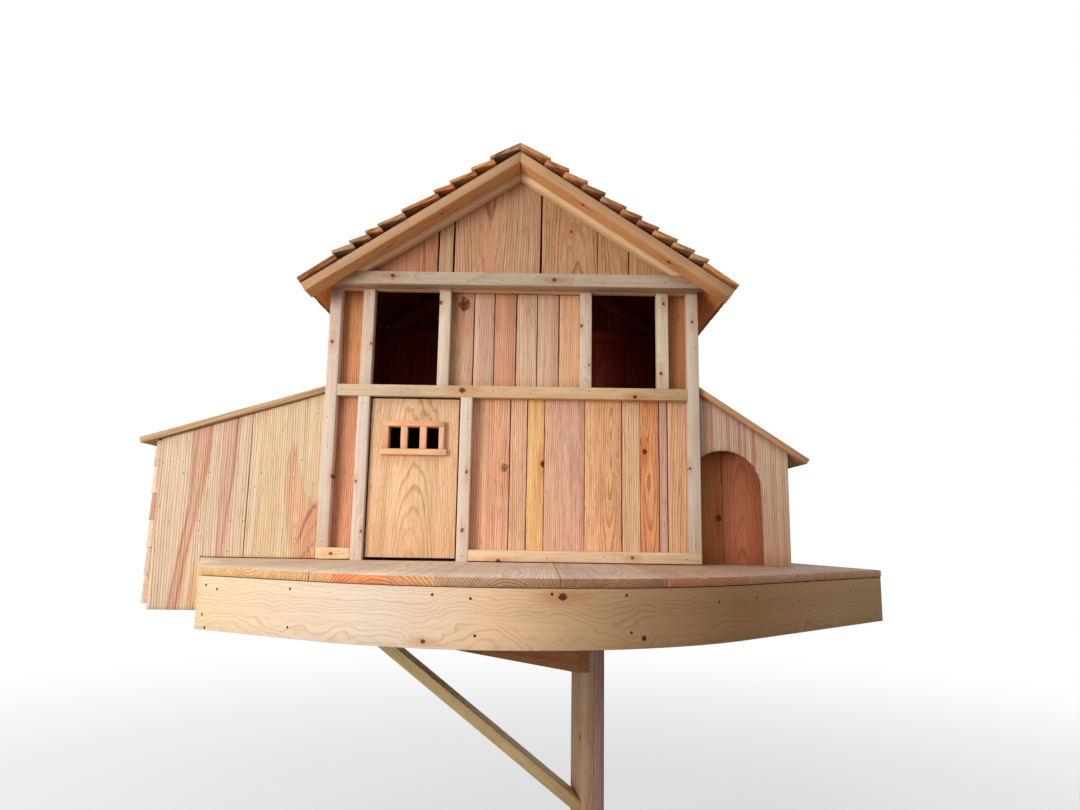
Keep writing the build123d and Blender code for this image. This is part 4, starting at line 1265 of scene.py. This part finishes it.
# Heads: a shallow dome of four rings of eight points, their width and height from a table, at each place
# and turned to face out: point = place + r cos(t) * first + r sin(t) * second + h * normal.
def heads(places, normals, radius):
    places = np.array(places, float)
    normals = np.broadcast_to(np.array(normals, float), places.shape)
    first = np.cross(np.where(np.abs(normals[:, 2:3]) > 0.9, east, above), normals)
    first /= np.linalg.norm(first, axis=1)[:, None]
    second = np.cross(normals, first)
    angle = np.linspace(0, 2 * math.pi, 9)[:-1]
    wide, high = np.array([[1.0, -1.0], [1.0, 0.0], [0.72, 0.8], [0.2, 1.0]]).T[..., None]
    a = wide * radius * np.cos(angle)
    b = wide * radius * np.sin(angle)
    h = np.broadcast_to(high * fasteners["proud"], a.shape)
    points = places[:, None, None] + sum(
        size[None, ..., None] * way[:, None, None] for size, way in ((a, first), (b, second), (h, normals)))
    k = np.arange(8)
    after = (k + 1) % 8
    ring = [np.stack([j + k, j + after, j + 8 + after, j + 8 + k], -1) for j in (0, 8, 16)]
    lids = [[0, 7, 6, 5], [0, 5, 4, 3], [0, 3, 2, 1], [24, 25, 26, 27], [24, 27, 28, 29], [24, 29, 30, 31]]
    each = np.concatenate([*ring, lids])
    faces = each[None] + np.arange(len(places))[:, None, None] * 32
    return {"points": points.reshape(-1, 3), "faces": faces.reshape(-1, 4)}


# Heads on the bent rim, each mark (length along it, height).
def onRim(marks, radius):
    run, z = np.array(marks, float).T
    x, y = edgePoint(run, rimRadius)
    angle = np.clip(run / rimRadius, -deck["leftTurn"], deck["rightTurn"])
    return heads(np.stack([x, y, z], -1), np.stack([np.sin(angle), -np.cos(angle), 0 * angle], -1), radius)


nailPlaces = [(x, y, z) for key, y in (("wingNails", stick), ("tieNails", roof["front"]), ("frameNails", 0.0))
              for x, z in fasteners[key]]
for seams, low, high in ((walls["lowerSeams"], 10, 512), (walls["upperSeams"], 576, 872)):
    for i, (a, b) in between(seams):
        for share in ((0.25, 0.75) if b - a > 40 else (0.5,)):
            for z in (low, high):
                jitter = rng.uniform(-4, 4, 2)
                nailPlaces.append((a + (b - a) * share + jitter[0], 38.6, z + abs(jitter[1])))
sidingNails = [(sidingFace(22), y, sidingFoot + i * exposure + 22) for i in range(6) for y in (60, 268, 476)]
deckScrews = [(x, y, 0.0) for x in (-560, -380, -160, -80, 90, 180, 330, 420, 560, 640, 780, 860)
              for y in (-620, -260) if y > deckFront(x, 0) + 60]
fixings = [
    onRim(fasteners["rimScrews"], fasteners["screw"]),
    onRim(fasteners["rimPlugs"], fasteners["plug"]),
    onRim(fasteners["rimNails"], fasteners["nail"]),
    heads(nailPlaces, -north, fasteners["nail"]),
    heads(sidingNails, -east, fasteners["nail"]),
    heads(deckScrews, above, fasteners["screw"]),
]
makePiece("nailHeads", fixings, darkSteel)
makePiece("doorNails", [heads(fasteners["doorNails"], -north, fasteners["pin"])], darkSteel, (),
          "door")

# Floor, light and camera
studio = {
    "floorHalf": 30.0,
    "floorShade": (236, 236, 234),
    "floorVeil": 0.5,
    "bounceShade": (150, 146, 138),
    "worldStrength": 0.5,
    "worldColour": (0.93, 0.97, 1.0),
    "target": (-0.2, -0.2, 1.6),
    "lights": {"keyLight": ((-3.3, -4.0, 2.0), 1.8, 155.0, (1.0, 0.96, 0.9)),
               "topLight": ((-1.5, -3.0, 5.5), 2.4, 45.0, (1.0, 1.0, 1.0))},
    "white": (1.0, 1.0, 1.0, 1.0),
    "eye": (0.091, -2.5, 0.092),      # metres from the house's front, on the deck
    "pitchUp": 9.35,
    "roll": 0.9,
    "lens": 26.0,
}
print("floor, light and camera")
wide = studio["floorHalf"]
floorMesh = bpy.data.meshes.new("paleFloor")
floorMesh.from_pydata([(-wide, -wide, 0), (wide, -wide, 0), (wide, wide, 0), (-wide, wide, 0)], [],
                      [(0, 1, 2, 3)])
floorFinish = bpy.data.materials.new("floorFinish")
floorNodes = openTree(floorFinish)
floorShader = floorNodes["Principled BSDF"]
seen = wire("LightPath")["Is Camera Ray"]
away = wire("VectorMath", {0: wire("TexCoord")["Object"]}, operation="LENGTH")["Value"]
veil = times(ramp(away, 1.0, 7.0, studio["floorVeil"], 1.0), seen)
floorColour = blend(seen, (*paint(studio["bounceShade"]), 1.0), (*paint(studio["floorShade"]), 1.0))
feed(floorShader, {"Base Color": floorColour, "Roughness": 0.9})
glow = wire("Emission", {"Color": studio["white"], "Strength": 1.0})[0]
feed(floorNodes["Material Output"],
     {"Surface": wire("MixShader", {0: veil, 1: floorShader.outputs[0], 2: glow})[0]})
floorMesh.materials.append(floorFinish)
paleFloor = stand("paleFloor", floorMesh)

world = bpy.data.worlds.new("studioWorld")
bpy.context.scene.world = world
worldNodes = openTree(world)
sky = worldNodes["Background"]
feed(sky, {"Color": (*studio["worldColour"], 1.0), "Strength": studio["worldStrength"]})
white = wire("Background", {"Color": studio["white"], "Strength": 1.0})[0]
path = wire("LightPath")
clear = calc("MAXIMUM", path["Is Camera Ray"], path["Is Glossy Ray"])
clear = calc("MAXIMUM", clear, path["Is Transmission Ray"])
feed(worldNodes["World Output"], {"Surface": wire("MixShader", {0: clear, 1: sky.outputs[0], 2: white})[0]})

for name, (place, size, power, colour) in studio["lights"].items():
    light = bpy.data.lights.new(name, "AREA")
    light.size = size
    light.energy = power
    light.color = colour
    lamp = stand(name, light)
    lamp.rotation_mode = "QUATERNION"
    lamp.rotation_quaternion = Vector(np.array(place) - studio["target"]).to_track_quat("Z", "Y")
    lamp.location = place

cameraData = bpy.data.cameras.new("photoCamera")
cameraData.lens = studio["lens"]
cameraData.sensor_width = 36.0
camera = stand("photoCamera", cameraData)
tilt = (Matrix.Rotation(math.radians(90 + studio["pitchUp"]), 4, "X")
        @ Matrix.Rotation(math.radians(studio["roll"]), 4, "Z"))
camera.matrix_world = Matrix.Translation(home + np.array(studio["eye"])) @ tilt
bpy.context.scene.camera = camera
bpy.context.scene.view_settings.view_transform = "Standard"
